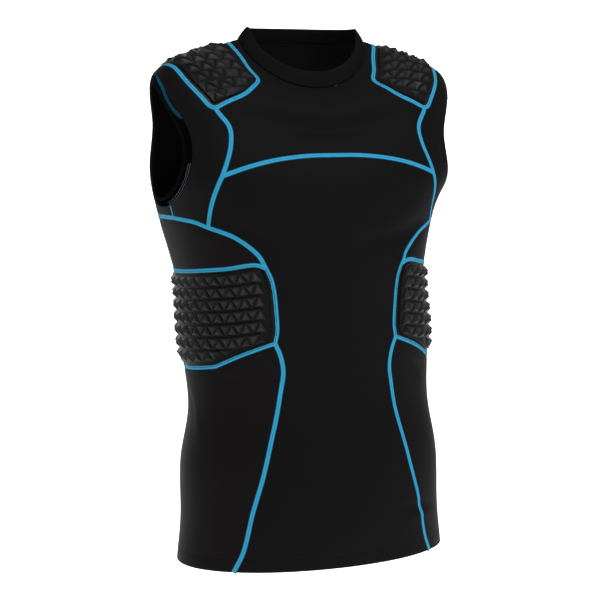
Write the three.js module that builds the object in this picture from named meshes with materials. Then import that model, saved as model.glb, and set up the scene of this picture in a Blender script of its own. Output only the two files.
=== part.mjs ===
// Padded sleeveless compression shirt, worn hollow form. Millimetres, +Z up.
// The front faces -Y and the wearer's left side is +X. The origin lies midway between the two
// points where the neck seam crosses the tops of the shoulders, which carry the shirt.
import * as THREE from 'three';
import { mergeVertices } from 'three/addons/utils/BufferGeometryUtils.js';

// Cloth and making-up sizes
const clothThickness = 1.6;
const seamGap = 0.3;
const hemWidth = 18;
const crescentTip = 2.5;
const armholeHemWidth = 10;
const foldStep = 1.2;
const foldedDepth = 2 * clothThickness;

// Collar band, cut double and folded at its top edge
const collarThickness = 3;
const collarFoldRadius = 1.3;

// Moulded pads: rows of triangular pyramids on a raised block inside a plain margin
const padWallDepth = 2.4;
const padBlockHeight = 2.2;
const padPyramidHeight = 2.8;
const padFootWidth = 1.8;
const ribPad = { margin: 9, rows: 7, pyramids: 13 };
const shoulderPad = { margin: 10, rows: 12, pyramids: 4 };

// Cells across the front and back, and the usual length of a cell along a seam
const cellsAcross = 18;
const cellsRoundSide = 13;
const seamCell = 19;
const neckRows = 2;

// The general figure that the cloth lies on, one row for each level from the hem to the neck seam.
// halfWidth is at the side, front and back are depths, and zFront, zSide and zBack are heights.
// fullness fills out the four corners of the section, and lean moves it forward. A front dip
// under 2 keeps the level high at the sides and drops it in the middle, as a U neckline does.
const figureColumns = [
  'halfWidth', 'front', 'back', 'zFront', 'zSide', 'zBack', 'fullness', 'lean', 'frontDip'];
const figureRows = [
  [172, 110, 121, -632, -632, -632, 0.01, 6, 2],
  [166, 112, 121, -580, -580, -580, 0.02, 7, 2],
  [165, 108, 117, -510, -510, -510, 0.02, 8, 2],
  [154, 98, 111, -440, -440, -440, 0.02, 10, 2],
  [159, 115, 101, -360, -360, -360, 0.03, -4, 2],
  [158, 140, 88, -285, -285, -285, 0.04, -24, 2],
  [175, 151, 85, -212, -210, -215, 0.05, -33, 2],
  [191, 117, 111, -167, -158, -156, 0.06, -2, 2],
  [189, 88, 106, -126, -104, -105, 0.07, 8, 2],
  [188, 84, 83, -112, -42, -66, 0.06, 1, 2],
  [144, 79, 69, -87, -19, -32, 0.03, 3, 1.7],
  [82, 48, 49, -60, 1, 1.5, 0, 3.5, 1.13],
];
const collarTopRow = [70.5, 41, 45, -40, 16, 18.5, 0, 6.5, 1];
const neckLevel = figureRows.length - 1;

// Seams on the wearer's left half of the front. Each row is a point: the angle in degrees from
// the centre front, and the level in the figure's rows.
const sideLine = [[48, 0], [44.2, 0.45], [40.6, 1.2], [34.4, 1.93], [30.9, 2.63], [27.6, 3.22],
  [25.6, 3.55], [26.4, 3.8], [28.7, 4.0]];
const ribPadFront = [[28.7, 4.0], [27.7, 4.2], [28.3, 4.5], [29.2, 4.8], [30.2, 5.0], [32.0, 5.17]];
const ribPadTop = [[32.0, 5.17], [37.4, 5.22], [52.9, 5.15], [90, 5.09]];
const ribPadBottom = [[28.7, 4.0], [31.5, 3.97], [43.9, 3.83], [57, 3.68], [63, 3.64], [90, 3.59]];
const chestCurve = [[32.0, 5.17], [33.9, 5.34], [37.9, 5.5], [44.6, 5.67], [53.7, 5.8]];
const underarmCurve = [[53.7, 5.8], [61.6, 5.9], [74.6, 5.96]];
const underarmBackCurve = [[74.6, 5.96], [86, 5.975], [98, 5.97], [115, 5.91], [126.3, 5.8]];
const yokeLower = [[53.7, 5.8], [50.6, 6.12], [46.8, 6.5], [42, 6.98]];
const yokeUpper = [[42, 6.98], [39.6, 7.3], [37.4, 7.75], [37.2, 8.38], [41.7, 8.85]];
const yokeArc = [[42, 6.98], [29.5, 7.28], [20, 7.45], [10, 7.55], [0, 7.57]];
const shoulderPadFoot = [[41.7, 8.85], [40.2, 9.04], [37.9, 9.7], [38.7, 10.16], [40.1, 10.44]];
const shoulderPadInner = [[40.1, 10.44], [41.8, 10.58], [49.7, 10.67], [68.2, 10.82], [90, 10.78]];
const shoulderPadOuter = [[41.7, 8.85], [43.9, 8.83], [47.5, 9.01], [57, 9.22], [73.2, 9.42], [90, 9.37]];

// The shoulder pad's border behind, where the figure's rows slope less: angles from the centre back
const yokeUpperBack = [[42, 6.98], [39.4, 7.35], [38.6, 7.8], [41, 8.27]];
const padFootBehind = [[41, 8.27], [38.4, 8.4], [30.4, 8.74], [26.4, 9.02], [24.4, 9.22]];
const padInnerBehind = [[24.4, 9.22], [24.6, 9.42], [29, 9.75], [39.9, 10.2], [68, 10.7], [90, 10.78]];
const padOuterBehind = [[41, 8.27], [46, 8.45], [51, 8.7], [57, 8.95], [70, 9.15], [90, 9.37]];

// The largest folds, on both halves alike: a trough under the chest and the swell above it. Each
// follows a path of angles and levels, and fades towards both ends of it.
const folds = [
  { path: [[47, 5.87], [40, 5.76], [31, 5.64], [22, 5.56], [12, 5.53], [4, 5.53]], halfWidth: 12, rise: -4.5 },
  { path: [[44, 6.3], [30, 6.15], [16, 6.12]], halfWidth: 24, rise: 3 },
];
const foldEnd = 0.05;
const foldFullness = 0.7;

// The armhole is an oval in the same angle and level, cut deeper in front than behind, and its
// lowest point lies further forward
const armhole = { angle: 90, level: 7.58, frontReach: 36, backReach: 19, rise: 1.41, lowForward: 6 };

// Colours and finishes
const blackCloth = { color: 0x161617, roughness: 0.72, metalness: 0 };
const sideCloth = { color: 0x1c191b, roughness: 0.62, metalness: 0 };
const padPlastic = { color: 0x1d1d1e, roughness: 0.5, metalness: 0 };
const collarRib = { color: 0x141415, roughness: 0.8, metalness: 0 };

const radians = THREE.MathUtils.degToRad;
const named = (row) => Object.fromEntries(figureColumns.map((column, i) => [column, row[i]]));
const figure = figureRows.map(named);
const collarTop = named(collarTopRow);

// A smooth curve through four values, at part t of the way from the second to the third
function throughFour(a, b, c, d, t) {
  const squared = 2 * a - 5 * b + 4 * c - d;
  const cubed = 3 * b - a - 3 * c + d;
  return 0.5 * (2 * b + (c - a) * t + squared * t * t + cubed * t ** 3);
}

// The figure's section at any level, with straight-line ends past the hem and the neck
function sectionAt(level) {
  const last = figure.length - 1;
  const i = THREE.MathUtils.clamp(Math.floor(level), 0, last - 1);
  const section = {};
  for (const key of figureColumns) {
    const value = (k) => figure[k][key];
    const before = i > 0 ? value(i - 1) : 2 * value(0) - value(1);
    const after = i + 2 <= last ? value(i + 2) : 2 * value(last) - value(last - 1);
    section[key] = throughFour(before, value(i), value(i + 1), after, level - i);
  }
  return section;
}

function pointOn(section, angle) {
  const sine = Math.sin(radians(angle));
  const cosine = Math.cos(radians(angle));
  const full = 1 + section.fullness * Math.sin(2 * radians(angle)) ** 2;
  const depth = cosine > 0 ? section.front : section.back;
  const ends = cosine > 0 ? section.zFront : section.zBack;
  const toEnd = Math.abs(cosine) ** (cosine > 0 ? section.frontDip : 2);
  return new THREE.Vector3(
    section.halfWidth * sine * full,
    -depth * cosine * full - section.lean,
    section.zSide * (1 - toEnd) + ends * toEnd);
}

const figurePoint = (angle, level) => pointOn(sectionAt(level), angle);

function normalTo(surface, angle, level) {
  const [turn, rise] = [0.05, 0.01];
  const round = surface(angle + turn, level).sub(surface(angle - turn, level));
  const up = surface(angle, level + rise).sub(surface(angle, level - rise));
  return round.cross(up).normalize();
}

// The folds with the straight spans of their paths over the figure
const foldRuns = folds.map(({ path, halfWidth, rise }) => {
  const places = path.map((corner) => figurePoint(...corner));
  const spans = places.slice(1).map((place, i) => new THREE.Line3(places[i], place));
  return { spans, halfWidth, rise };
});

// How far the folds move the cloth outwards at a place on the figure
function foldRise(place) {
  const onLeft = new THREE.Vector3(Math.abs(place.x), place.y, place.z);
  return foldRuns.reduce((total, { spans, halfWidth, rise }) => {
    let [nearest, along] = [Infinity, 0];
    spans.forEach((span, i) => {
      const part = span.closestPointToPointParameter(onLeft, true);
      const gap = span.at(part, new THREE.Vector3()).distanceTo(onLeft);
      if (gap < nearest) [nearest, along] = [gap, (i + part) / spans.length];
    });
    const inside = THREE.MathUtils.clamp(along, foldEnd, 1 - foldEnd);
    const fade = Math.sin(Math.PI * inside) ** foldFullness;
    return total + rise * fade * Math.exp(-((nearest / halfWidth) ** 2));
  }, 0);
}

function bodyPoint(angle, level) {
  const place = figurePoint(angle, level);
  return place.addScaledVector(normalTo(figurePoint, angle, level), foldRise(place));
}

const bodyNormal = (angle, level) => normalTo(bodyPoint, angle, level);

// Chart curves. The back is the front turned about the side, and the right is the left mirrored.
const toBack = (curve) => curve.map(([angle, level]) => [180 - angle, level]);
const toRight = (curve) => curve.map(([angle, level]) => [-angle, level]);
const reversed = (curve) => [...curve].reverse();
const joined = (...curves) => curves.flatMap((curve, i) => (i === 0 ? curve : curve.slice(1)));

// A smooth chart curve through the given points, cut into even steps along the cloth.
// Steps listed in starts, in millimetres from the first point, come before the even ones.
function seam(points, count, starts = []) {
  const fine = [];
  const perSpan = 24;
  const at = (k) => {
    if (k < 0) return mix(points[1], points[0], 2);
    const last = points.length - 1;
    return k > last ? mix(points[last - 1], points[last], 2) : points[k];
  };
  for (let i = 0; i < points.length - 1; i += 1) {
    const [a, b, c, d] = [at(i - 1), at(i), at(i + 1), at(i + 2)];
    for (let k = 0; k < perSpan; k += 1) {
      fine.push([0, 1].map((axis) => throughFour(a[axis], b[axis], c[axis], d[axis], k / perSpan)));
    }
  }
  fine.push(points[points.length - 1]);
  const along = alongCloth(fine);
  const total = along[along.length - 1];
  const begun = starts.length ? starts[starts.length - 1] : 0;
  const rest = count - starts.length;
  const wanted = [0, ...starts];
  for (let k = 1; k <= rest; k += 1) wanted.push(begun + (total - begun) * (k / rest));
  return wanted.map((distance) => atDistance(fine, along, distance));
}

function alongCloth(curve) {
  const along = [0];
  for (let i = 1; i < curve.length; i += 1) {
    along.push(along[i - 1] + bodyPoint(...curve[i]).distanceTo(bodyPoint(...curve[i - 1])));
  }
  return along;
}

function atDistance(curve, along, distance) {
  let i = 1;
  while (i < along.length - 1 && along[i] < distance) i += 1;
  const part = THREE.MathUtils.clamp((distance - along[i - 1]) / (along[i] - along[i - 1]), 0, 1);
  return mix(curve[i - 1], curve[i], part);
}

// A place part of the way through a seam's steps: in the chart, and on the straight sewn edge
function seamSpan(curve, part) {
  const whole = part * (curve.length - 1);
  const i = Math.min(Math.floor(whole + 1e-9), curve.length - 2);
  return [curve[i], curve[i + 1], whole - i];
}

const chartAt = (curve, part) => mix(...seamSpan(curve, part));

function edgeAt(curve, part) {
  const [from, to, rest] = seamSpan(curve, part);
  return bodyPoint(...from).lerp(bodyPoint(...to), rest);
}

const lengthOf = (curve) => alongCloth(curve).at(-1);
const mix = (a, b, part) => a.map((value, c) => value + (b[c] - value) * part);

// A level run of chart points between two angles
function levelRun(fromAngle, toAngle, level, count) {
  const turn = (toAngle - fromAngle) / count;
  return Array.from({ length: count + 1 }, (_, i) => [fromAngle + turn * i, level]);
}

// Even rows of chart points from one curve to another with as many points
function rowsBetween(low, high, count) {
  const rowAt = (part) => low.map((point, i) => mix(point, high[i], part));
  return Array.from({ length: count + 1 }, (_, j) => rowAt(j / count));
}

// A grid of chart points filling the space between four curves that meet at their ends
function fillBetween(bottom, top, left, right) {
  const across = bottom.length - 1;
  const upward = left.length - 1;
  return left.map((_, j) => {
    const blend = (j / upward) ** 2;
    return bottom.map((__, i) => {
      const part = i / across;
      return [0, 1].map((c) => {
        const ends = (1 - part) * bottom[0][c] + part * bottom[across][c];
        const tops = (1 - part) * top[0][c] + part * top[across][c];
        const sides = (1 - part) * left[j][c] + part * right[j][c];
        return sides + (1 - blend) * (bottom[i][c] - ends) + blend * (top[i][c] - tops);
      });
    });
  });
}

// Spreads the rows from firstRow to the top evenly down the middle of a grid
function spreadMiddle(grid, firstRow) {
  const lastRow = grid.length - 1;
  const middle = (grid[0].length - 1) / 2;
  const low = grid[firstRow][middle][1];
  const high = grid[lastRow][middle][1];
  return grid.map((row, j) => {
    if (j < firstRow) return row;
    const wanted = low + (high - low) * ((j - firstRow) / (lastRow - firstRow));
    const shift = wanted - row[middle][1];
    return row.map(([angle, level], i) => [angle, level + shift * (1 - Math.abs(i / middle - 1))]);
  });
}

// Twice the area of a loop of chart points, positive when it runs anticlockwise
function chartArea(corners) {
  return corners.reduce((sum, [angle, level], i) => {
    const [nextAngle, nextLevel] = corners[(i + 1) % corners.length];
    return sum + angle * nextLevel - nextAngle * level;
  }, 0);
}

// The cell started at the corner from which it splits into the two fuller triangles
function wellSplit([a, b, c, d]) {
  const smaller = (...triangles) => Math.min(...triangles.map(chartArea));
  return smaller([a, b, c], [a, c, d]) < smaller([b, c, d], [b, d, a]) ? [b, c, d, a] : [a, b, c, d];
}

// One piece of cloth: chart points with an outer lift and an inner depth, and the faces between
class Sheet {
  constructor(side = 1) {
    this.side = side;
    this.points = [];
    this.index = new Map();
    this.outer = [];
    this.inner = [];
  }

  point([angle, level], lift = 0, depth = clothThickness) {
    const turned = angle * this.side;
    const key = `${Math.round((((turned % 360) + 360) % 360) * 2e3)},${Math.round(level * 2e4)}`;
    if (!this.index.has(key)) {
      this.index.set(key, this.points.length);
      this.points.push({ angle: turned, level, lift, depth, base: bodyPoint(turned, level) });
    }
    return this.index.get(key);
  }

  // Holds a point on the straight edge of the piece next to it
  pin(corner, place) {
    const mirrored = new THREE.Vector3(place.x * this.side, place.y, place.z);
    this.points[this.point(corner)].base = mirrored;
  }

  // Corners run anticlockwise seen from outside on the left half, and mirror on the right half
  face(layer, corners) {
    const ids = corners.map((corner) => this.point(corner));
    if (this.side < 0) ids.push(...ids.splice(1).reverse());
    const loop = ids.filter((id, i) => id !== ids[(i + 1) % ids.length]);
    for (let i = 2; i < loop.length; i += 1) {
      const triangle = [loop[0], loop[i - 1], loop[i]];
      if (new Set(triangle).size === 3) this[layer].push(triangle);
    }
  }

  grid(layer, rows) {
    const cells = [];
    for (let j = 1; j < rows.length; j += 1) {
      for (let i = 1; i < rows[j].length; i += 1) {
        cells.push([rows[j - 1][i - 1], rows[j - 1][i], rows[j][i], rows[j][i - 1]]);
      }
    }
    const clockwise = cells.reduce((sum, cell) => sum + chartArea(cell), 0) < 0;
    for (const cell of cells) this.face(layer, wellSplit(clockwise ? reversed(cell) : cell));
  }

  cloth(rows) {
    this.grid('outer', rows);
    this.grid('inner', rows);
  }

  // The directed edges on the outside border, from each corner to the next
  border() {
    const open = new Map();
    for (const [a, b, c] of this.outer) {
      for (const [from, to] of [[a, b], [b, c], [c, a]]) {
        if (open.get(`${to}>${from}`)) open.delete(`${to}>${from}`);
        else open.set(`${from}>${to}`, [from, to]);
      }
    }
    return [...open.values()];
  }

  solid() {
    const base = this.points.map((p) => p.base.clone());
    const normal = this.points.map((p) => bodyNormal(p.angle, p.level));
    const edges = this.border();
    const inward = new Map();
    for (const [from, to] of edges) {
      const along = base[to].clone().sub(base[from]).normalize();
      for (const id of [from, to]) {
        const into = normal[id].clone().cross(along).normalize();
        inward.set(id, [...(inward.get(id) ?? []), into]);
      }
    }
    for (const [id, [first, second]] of inward) {
      const shift = first.clone().add(second).divideScalar(1 + Math.max(first.dot(second), -0.5));
      base[id].addScaledVector(shift, seamGap / 2);
    }
    const outside = this.points.map((p, id) => base[id].clone().addScaledVector(normal[id], p.lift));
    const inside = this.points.map((p, id) => base[id].clone().addScaledVector(normal[id], -p.depth));
    const triangles = this.outer.map((ids) => ids.map((id) => outside[id]));
    for (const [a, b, c] of this.inner) triangles.push([inside[a], inside[c], inside[b]]);
    // Each edge wall is split from its upper outside corner, so that two sewn walls match
    for (const [from, to] of edges) {
      const rises = base[to].z > base[from].z;
      const [across, beside] = rises ? [to, from] : [from, to];
      triangles.push([outside[to], outside[from], inside[beside]]);
      triangles.push([outside[across], inside[from], inside[to]]);
    }
    return fromTriangles(triangles);
  }
}

function fromTriangles(triangles) {
  const geometry = new THREE.BufferGeometry();
  const numbers = triangles.flatMap((corners) => corners.flatMap((corner) => corner.toArray()));
  geometry.setAttribute('position', new THREE.Float32BufferAttribute(numbers, 3));
  return mergeVertices(geometry, 1e-4);
}

// Seams cut to steps, shared by the pieces on both sides of them
const steps = (curve) => Math.max(1, Math.round(lengthOf(curve) / seamCell));
const side = seam(sideLine, steps(sideLine) + 2, [hemWidth, hemWidth + foldStep]);
const padFront = seam(ribPadFront, ribPad.rows);
const chest = seam(chestCurve, 5);
const underarm = seam(underarmCurve, 3);
const underarmBack = seam(underarmBackCurve, 4);
const lowerYoke = seam(yokeLower, 5);
const upperYoke = seam(yokeUpper, 5);
const arc = seam([...toRight(yokeArc), ...reversed(yokeArc).slice(1)], cellsAcross);
const padFoot = seam(shoulderPadFoot, shoulderPad.pyramids);
const padInner = seam(shoulderPadInner, shoulderPad.rows / 2);
const padOuter = seam(shoulderPadOuter, shoulderPad.rows / 2);
const backYoke = seam(toBack(yokeUpperBack), 4);
const backFoot = seam(toBack(padFootBehind), shoulderPad.pyramids);
const backInner = seam(toBack(padInnerBehind), shoulderPad.rows / 2);
const backOuter = seam(toBack(padOuterBehind), shoulderPad.rows / 2);

// The cloth at the neck, in front or behind: along the pads' ends and along the neck seam
function neckRuns(foot, inner) {
  const [angle, level] = foot.at(-1);
  const far = angle < 90 ? -angle : 360 - angle;
  return {
    betweenPads: levelRun(far, angle, level, cellsAcross),
    neckMiddle: levelRun(far, angle, neckLevel, cellsAcross),
    inner,
    neckSide: levelRun(angle, 90, neckLevel, inner.length - 1),
  };
}

const frontNeck = neckRuns(padFoot, padInner);
const backNeck = neckRuns(backFoot, backInner);
const overArm = joined(chest, underarm, underarmBack, toBack(reversed(chest)));
const padTop = seam(joined(ribPadTop, reversed(toBack(ribPadTop))), overArm.length - 1);
const padBottom = seam(joined(ribPadBottom, reversed(toBack(ribPadBottom))), cellsRoundSide);

// The hem is turned up inside: points up to its stitch line lie two thicknesses deep
function markHem(sheet, rows) {
  for (const row of rows.slice(0, 2)) {
    for (const corner of row) sheet.point(corner, 0, foldedDepth);
  }
}

function frontBody() {
  const sheet = new Sheet();
  const left = joined(side, padFront, chest, lowerYoke);
  const bottom = levelRun(-sideLine[0][0], sideLine[0][0], 0, cellsAcross);
  const rows = fillBetween(bottom, arc, toRight(left), left);
  markHem(sheet, rows);
  sheet.cloth(rows);
  return sheet.solid();
}

// The cloth between the shoulder pads and the neck seam, in front or behind
function addNeckCloth(sheet, { betweenPads, neckMiddle, inner, neckSide }) {
  sheet.cloth(rowsBetween(betweenPads, neckMiddle, neckRows));
  for (const which of [-1, 1]) {
    sheet.side = which;
    sheet.cloth(rowsBetween(inner, neckSide, neckRows));
  }
}

function frontYoke() {
  const sheet = new Sheet();
  const left = joined(upperYoke, padFoot);
  sheet.cloth(spreadMiddle(fillBetween(arc, frontNeck.betweenPads, toRight(left), left), 0));
  addNeckCloth(sheet, frontNeck);
  return sheet.solid();
}

// The cloth between the armhole and the seam outside it, with the armhole's edge turned in
function armholeRows(outerSeam) {
  const reach = (angle) => (angle < armhole.angle ? armhole.frontReach : armhole.backReach);
  return outerSeam.map(([angle, level]) => {
    const across = (armhole.angle - angle) / reach(angle);
    const upward = (level - armhole.level) / armhole.rise;
    const far = Math.hypot(across, upward);
    const edge = mix([armhole.angle, armhole.level], [angle, level], 1 / far);
    edge[0] -= armhole.lowForward * Math.max(0, -upward / far) ** 3;
    const width = lengthOf([edge, [angle, level]]);
    const fold = armholeHemWidth / width;
    const past = (armholeHemWidth + foldStep) / width;
    return [0, fold, past, (1 + past) / 2, 1].map((part) => mix(edge, [angle, level], part));
  });
}

function addArmholeCloth(sheet, outerSeam) {
  const rows = armholeRows(outerSeam);
  for (const row of rows) {
    for (const corner of row.slice(0, 2)) sheet.point(corner, 0, foldedDepth);
  }
  sheet.cloth(rows);
}

function armholePanel(which) {
  const sheet = new Sheet(which);
  addArmholeCloth(sheet, joined(reversed(underarm), lowerYoke, upperYoke, padOuter));
  return sheet.solid();
}

// The back is cut in one, from armhole to armhole and from the hem to the neck
function backBody() {
  const sheet = new Sheet();
  const below = joined(toBack(joined(side, padFront, chest, lowerYoke)), backYoke);
  const left = joined(below, backFoot);
  const right = left.map(([angle, level]) => [360 - angle, level]);
  const sideAngle = 180 - sideLine[0][0];
  const bottom = levelRun(sideAngle, 360 - sideAngle, 0, cellsAcross);
  const top = reversed(backNeck.betweenPads);
  const rows = spreadMiddle(fillBetween(bottom, top, left, right), below.length - backYoke.length);
  markHem(sheet, rows);
  sheet.cloth(rows);
  addNeckCloth(sheet, backNeck);
  const outside = joined(underarmBack, toBack(lowerYoke), backYoke, backOuter);
  for (const which of [1, -1]) {
    sheet.side = which;
    addArmholeCloth(sheet, outside);
  }
  return sheet.solid();
}

function lowerSide(which) {
  const sheet = new Sheet(which);
  const bottom = levelRun(sideLine[0][0], 180 - sideLine[0][0], 0, cellsRoundSide);
  const rows = fillBetween(bottom, padBottom, side, toBack(side));
  markHem(sheet, rows);
  sheet.cloth(rows);
  return sheet.solid();
}

// The upper side panel is a crescent: both ends run out to a narrow tip beside the rib pad
function upperSide(which) {
  const sheet = new Sheet(which);
  const rowsUp = 3;
  const columns = overArm.map((high, k) => (
    Array.from({ length: rowsUp + 1 }, (_, j) => mix(padTop[k], high, j / rowsUp))));
  const last = columns.length - 1;
  for (const [end, next] of [[0, 1], [last, last - 1]]) {
    const part = crescentTip / lengthOf([padTop[next], overArm[next]]);
    const edge = (curve) => bodyPoint(...curve[end]).lerp(bodyPoint(...curve[next]), part);
    columns[end] = columns[next].map((corner) => mix(padTop[end], corner, part));
    sheet.pin(columns[end][0], edge(padTop));
    sheet.pin(columns[end][rowsUp], edge(overArm));
  }
  sheet.cloth(columns);
  return sheet.solid();
}

// A moulded pad between four seams: bottom and top run across, left and right run up.
// The triangles of each row stand up and down in turn, and every one rises to a point.
function mouldedPad(which, size, { bottom, top, left, right }) {
  const sheet = new Sheet(which);
  const columns = 2 * size.pyramids;
  const inPad = (u, v) => [0, 1].map((c) => {
    const ends = (1 - u) * bottom[0][c] + u * bottom.at(-1)[c];
    const tops = (1 - u) * top[0][c] + u * top.at(-1)[c];
    const sides = (1 - u) * chartAt(left, v)[c] + u * chartAt(right, v)[c];
    return sides + (1 - v) * (chartAt(bottom, u)[c] - ends) + v * (chartAt(top, u)[c] - tops);
  });
  const spans = 12;
  const heightAt = (u) => lengthOf(Array.from({ length: spans + 1 }, (_, k) => inPad(u, k / spans)));
  const widthOfPad = lengthOf(Array.from({ length: spans + 1 }, (_, k) => inPad(k / spans, 0.5)));
  const tallest = Math.max(...Array.from({ length: spans + 1 }, (_, k) => heightAt(k / spans)));
  const rowPitch = (tallest - 2 * size.margin) / size.rows;

  // A place on the block, by column and by row from the top, inset from the seams by margin
  const place = (column, row, margin) => {
    const u = margin / widthOfPad + (column / columns) * (1 - (2 * margin) / widthOfPad);
    const height = heightAt(u);
    const down = margin + (row * rowPitch * (tallest - 2 * margin)) / (tallest - 2 * size.margin);
    const lowest = height - margin;
    return { corner: inPad(u, 1 - Math.min(down, lowest) / height), cut: down - lowest };
  };
  const blockAt = (column, row) => place(column, row, size.margin).corner;
  const pyramid = (column, row, part, corners) => {
    const room = -place(column, row + part, size.margin).cut;
    const full = THREE.MathUtils.clamp(room / (rowPitch / 2), 0, 1);
    const chart = corners.map(([c, r]) => blockAt(c, r));
    if (sheet.point(chart[0]) === sheet.point(chart[2])) return;
    const peak = full > 0 ? blockAt(column, row + part) : chart[0];
    if (full > 0) sheet.point(peak, padBlockHeight + padPyramidHeight * full);
    chart.forEach((corner, k) => sheet.face('outer', [peak, corner, chart[(k + 1) % chart.length]]));
  };
  for (let row = 0; row <= size.rows; row += 1) {
    for (let column = 0; column <= columns; column += 1) {
      sheet.point(blockAt(column, row), padBlockHeight);
    }
  }
  for (let row = 0; row < size.rows; row += 1) {
    const low = row + 1;
    for (let column = 1; column < columns; column += 1) {
      const [before, after] = [column - 1, column + 1];
      const standing = [[column, row], [before, low], [column, low], [after, low]];
      const hanging = [[column, low], [after, row], [column, row], [before, row]];
      if (column % 2 === 1) pyramid(column, row, 2 / 3, standing);
      else pyramid(column, row, 1 / 3, hanging);
    }
    sheet.face('outer', [blockAt(0, low), blockAt(1, row), blockAt(0, row)]);
    sheet.face('outer', [blockAt(columns, low), blockAt(columns, row), blockAt(columns - 1, row)]);
  }

  // The block's foot and the plain margin outside it
  const ring = [];
  for (let column = 0; column < columns; column += 1) ring.push([column, size.rows]);
  for (let row = size.rows; row > 0; row -= 1) ring.push([columns, row]);
  for (let column = columns; column > 0; column -= 1) ring.push([column, 0]);
  for (let row = 0; row < size.rows; row += 1) ring.push([0, row]);
  const onBorder = ([column, row]) => inPad(column / columns, 1 - row / size.rows);
  for (const [column, row] of ring) {
    const across = row === 0 || row === size.rows;
    const ends = row === 0 ? top : bottom;
    const sides = column === 0 ? left : right;
    const edge = across ? edgeAt(ends, column / columns) : edgeAt(sides, 1 - row / size.rows);
    sheet.pin(onBorder([column, row]), edge);
  }
  const foot = ([column, row]) => place(column, row, size.margin - padFootWidth).corner;
  ring.forEach((from, k) => {
    const to = ring[(k + 1) % ring.length];
    sheet.face('outer', [onBorder(from), onBorder(to), foot(to), foot(from)]);
    sheet.face('outer', [foot(from), foot(to), blockAt(...to), blockAt(...from)]);
  });
  const inside = Array.from({ length: size.rows + 1 }, (_, row) => (
    Array.from({ length: columns + 1 }, (__, column) => onBorder([column, row]))));
  sheet.grid('inner', inside);
  for (const p of sheet.points) p.depth = padWallDepth;
  return sheet.solid();
}

function ribPadSolid(which) {
  const back = toBack(padFront);
  return mouldedPad(which, ribPad, { bottom: padBottom, top: padTop, left: padFront, right: back });
}

// The shoulder pad's rows lie across the shoulder, from its front end to its back end
function shoulderPadSolid(which) {
  return mouldedPad(which, shoulderPad, {
    bottom: reversed(padFoot),
    top: reversed(backFoot),
    left: joined(padInner, reversed(backInner)),
    right: joined(padOuter, reversed(backOuter)),
  });
}

// The collar stands on the neck seam: each section runs up its outside, over the fold and down
function collarBand() {
  const neck = figure[neckLevel];
  const front = joined(toRight(reversed(frontNeck.neckSide)), frontNeck.neckMiddle, frontNeck.neckSide);
  const turned = ([angle, level]) => [360 - angle, level];
  const behindLeft = reversed(backNeck.neckSide);
  const behind = joined(behindLeft, reversed(backNeck.neckMiddle), backNeck.neckSide.map(turned));
  const round = joined(front, behind).slice(1);
  const sections = round.map(([angle]) => {
    const low = pointOn(neck, angle);
    const high = pointOn(collarTop, angle);
    const along = pointOn(neck, angle + 1).sub(pointOn(neck, angle - 1)).normalize();
    const up = high.clone().sub(low).normalize();
    const out = along.clone().cross(up).normalize();
    const height = high.distanceTo(low);
    const profile = [
      [seamGap, 0],
      [height / 2, 0.5],
      [height - collarFoldRadius, 0],
      [height, -collarFoldRadius],
      [height, collarFoldRadius - collarThickness],
      [height - collarFoldRadius, -collarThickness],
      [seamGap, -collarThickness],
    ];
    const place = ([rise, lift]) => low.clone().addScaledVector(up, rise).addScaledVector(out, lift);
    return profile.map(place);
  });
  const triangles = [];
  sections.forEach((from, k) => {
    const to = sections[(k + 1) % sections.length];
    from.forEach((corner, i) => {
      const next = (i + 1) % from.length;
      triangles.push([corner, to[i], to[next]], [corner, to[next], from[next]]);
    });
  });
  return fromTriangles(triangles);
}

const shirt = new THREE.Group();

function add(name, geometry, finish) {
  const mesh = new THREE.Mesh(geometry, new THREE.MeshStandardMaterial(finish));
  mesh.name = name;
  shirt.add(mesh);
}

add('front_body', frontBody(), blackCloth);
add('front_yoke', frontYoke(), blackCloth);
add('back_body', backBody(), blackCloth);
add('collar', collarBand(), collarRib);
for (const [which, hand] of [[-1, 'right'], [1, 'left']]) {
  add(`armhole_panel_${hand}`, armholePanel(which), blackCloth);
  add(`side_upper_${hand}`, upperSide(which), sideCloth);
  add(`side_lower_${hand}`, lowerSide(which), sideCloth);
  add(`rib_pad_${hand}`, ribPadSolid(which), padPlastic);
  add(`shoulder_pad_${hand}`, shoulderPadSolid(which), padPlastic);
}

export default shirt;
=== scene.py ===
import math
import bpy
import numpy as np
from mathutils import Matrix, Vector, kdtree


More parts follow.
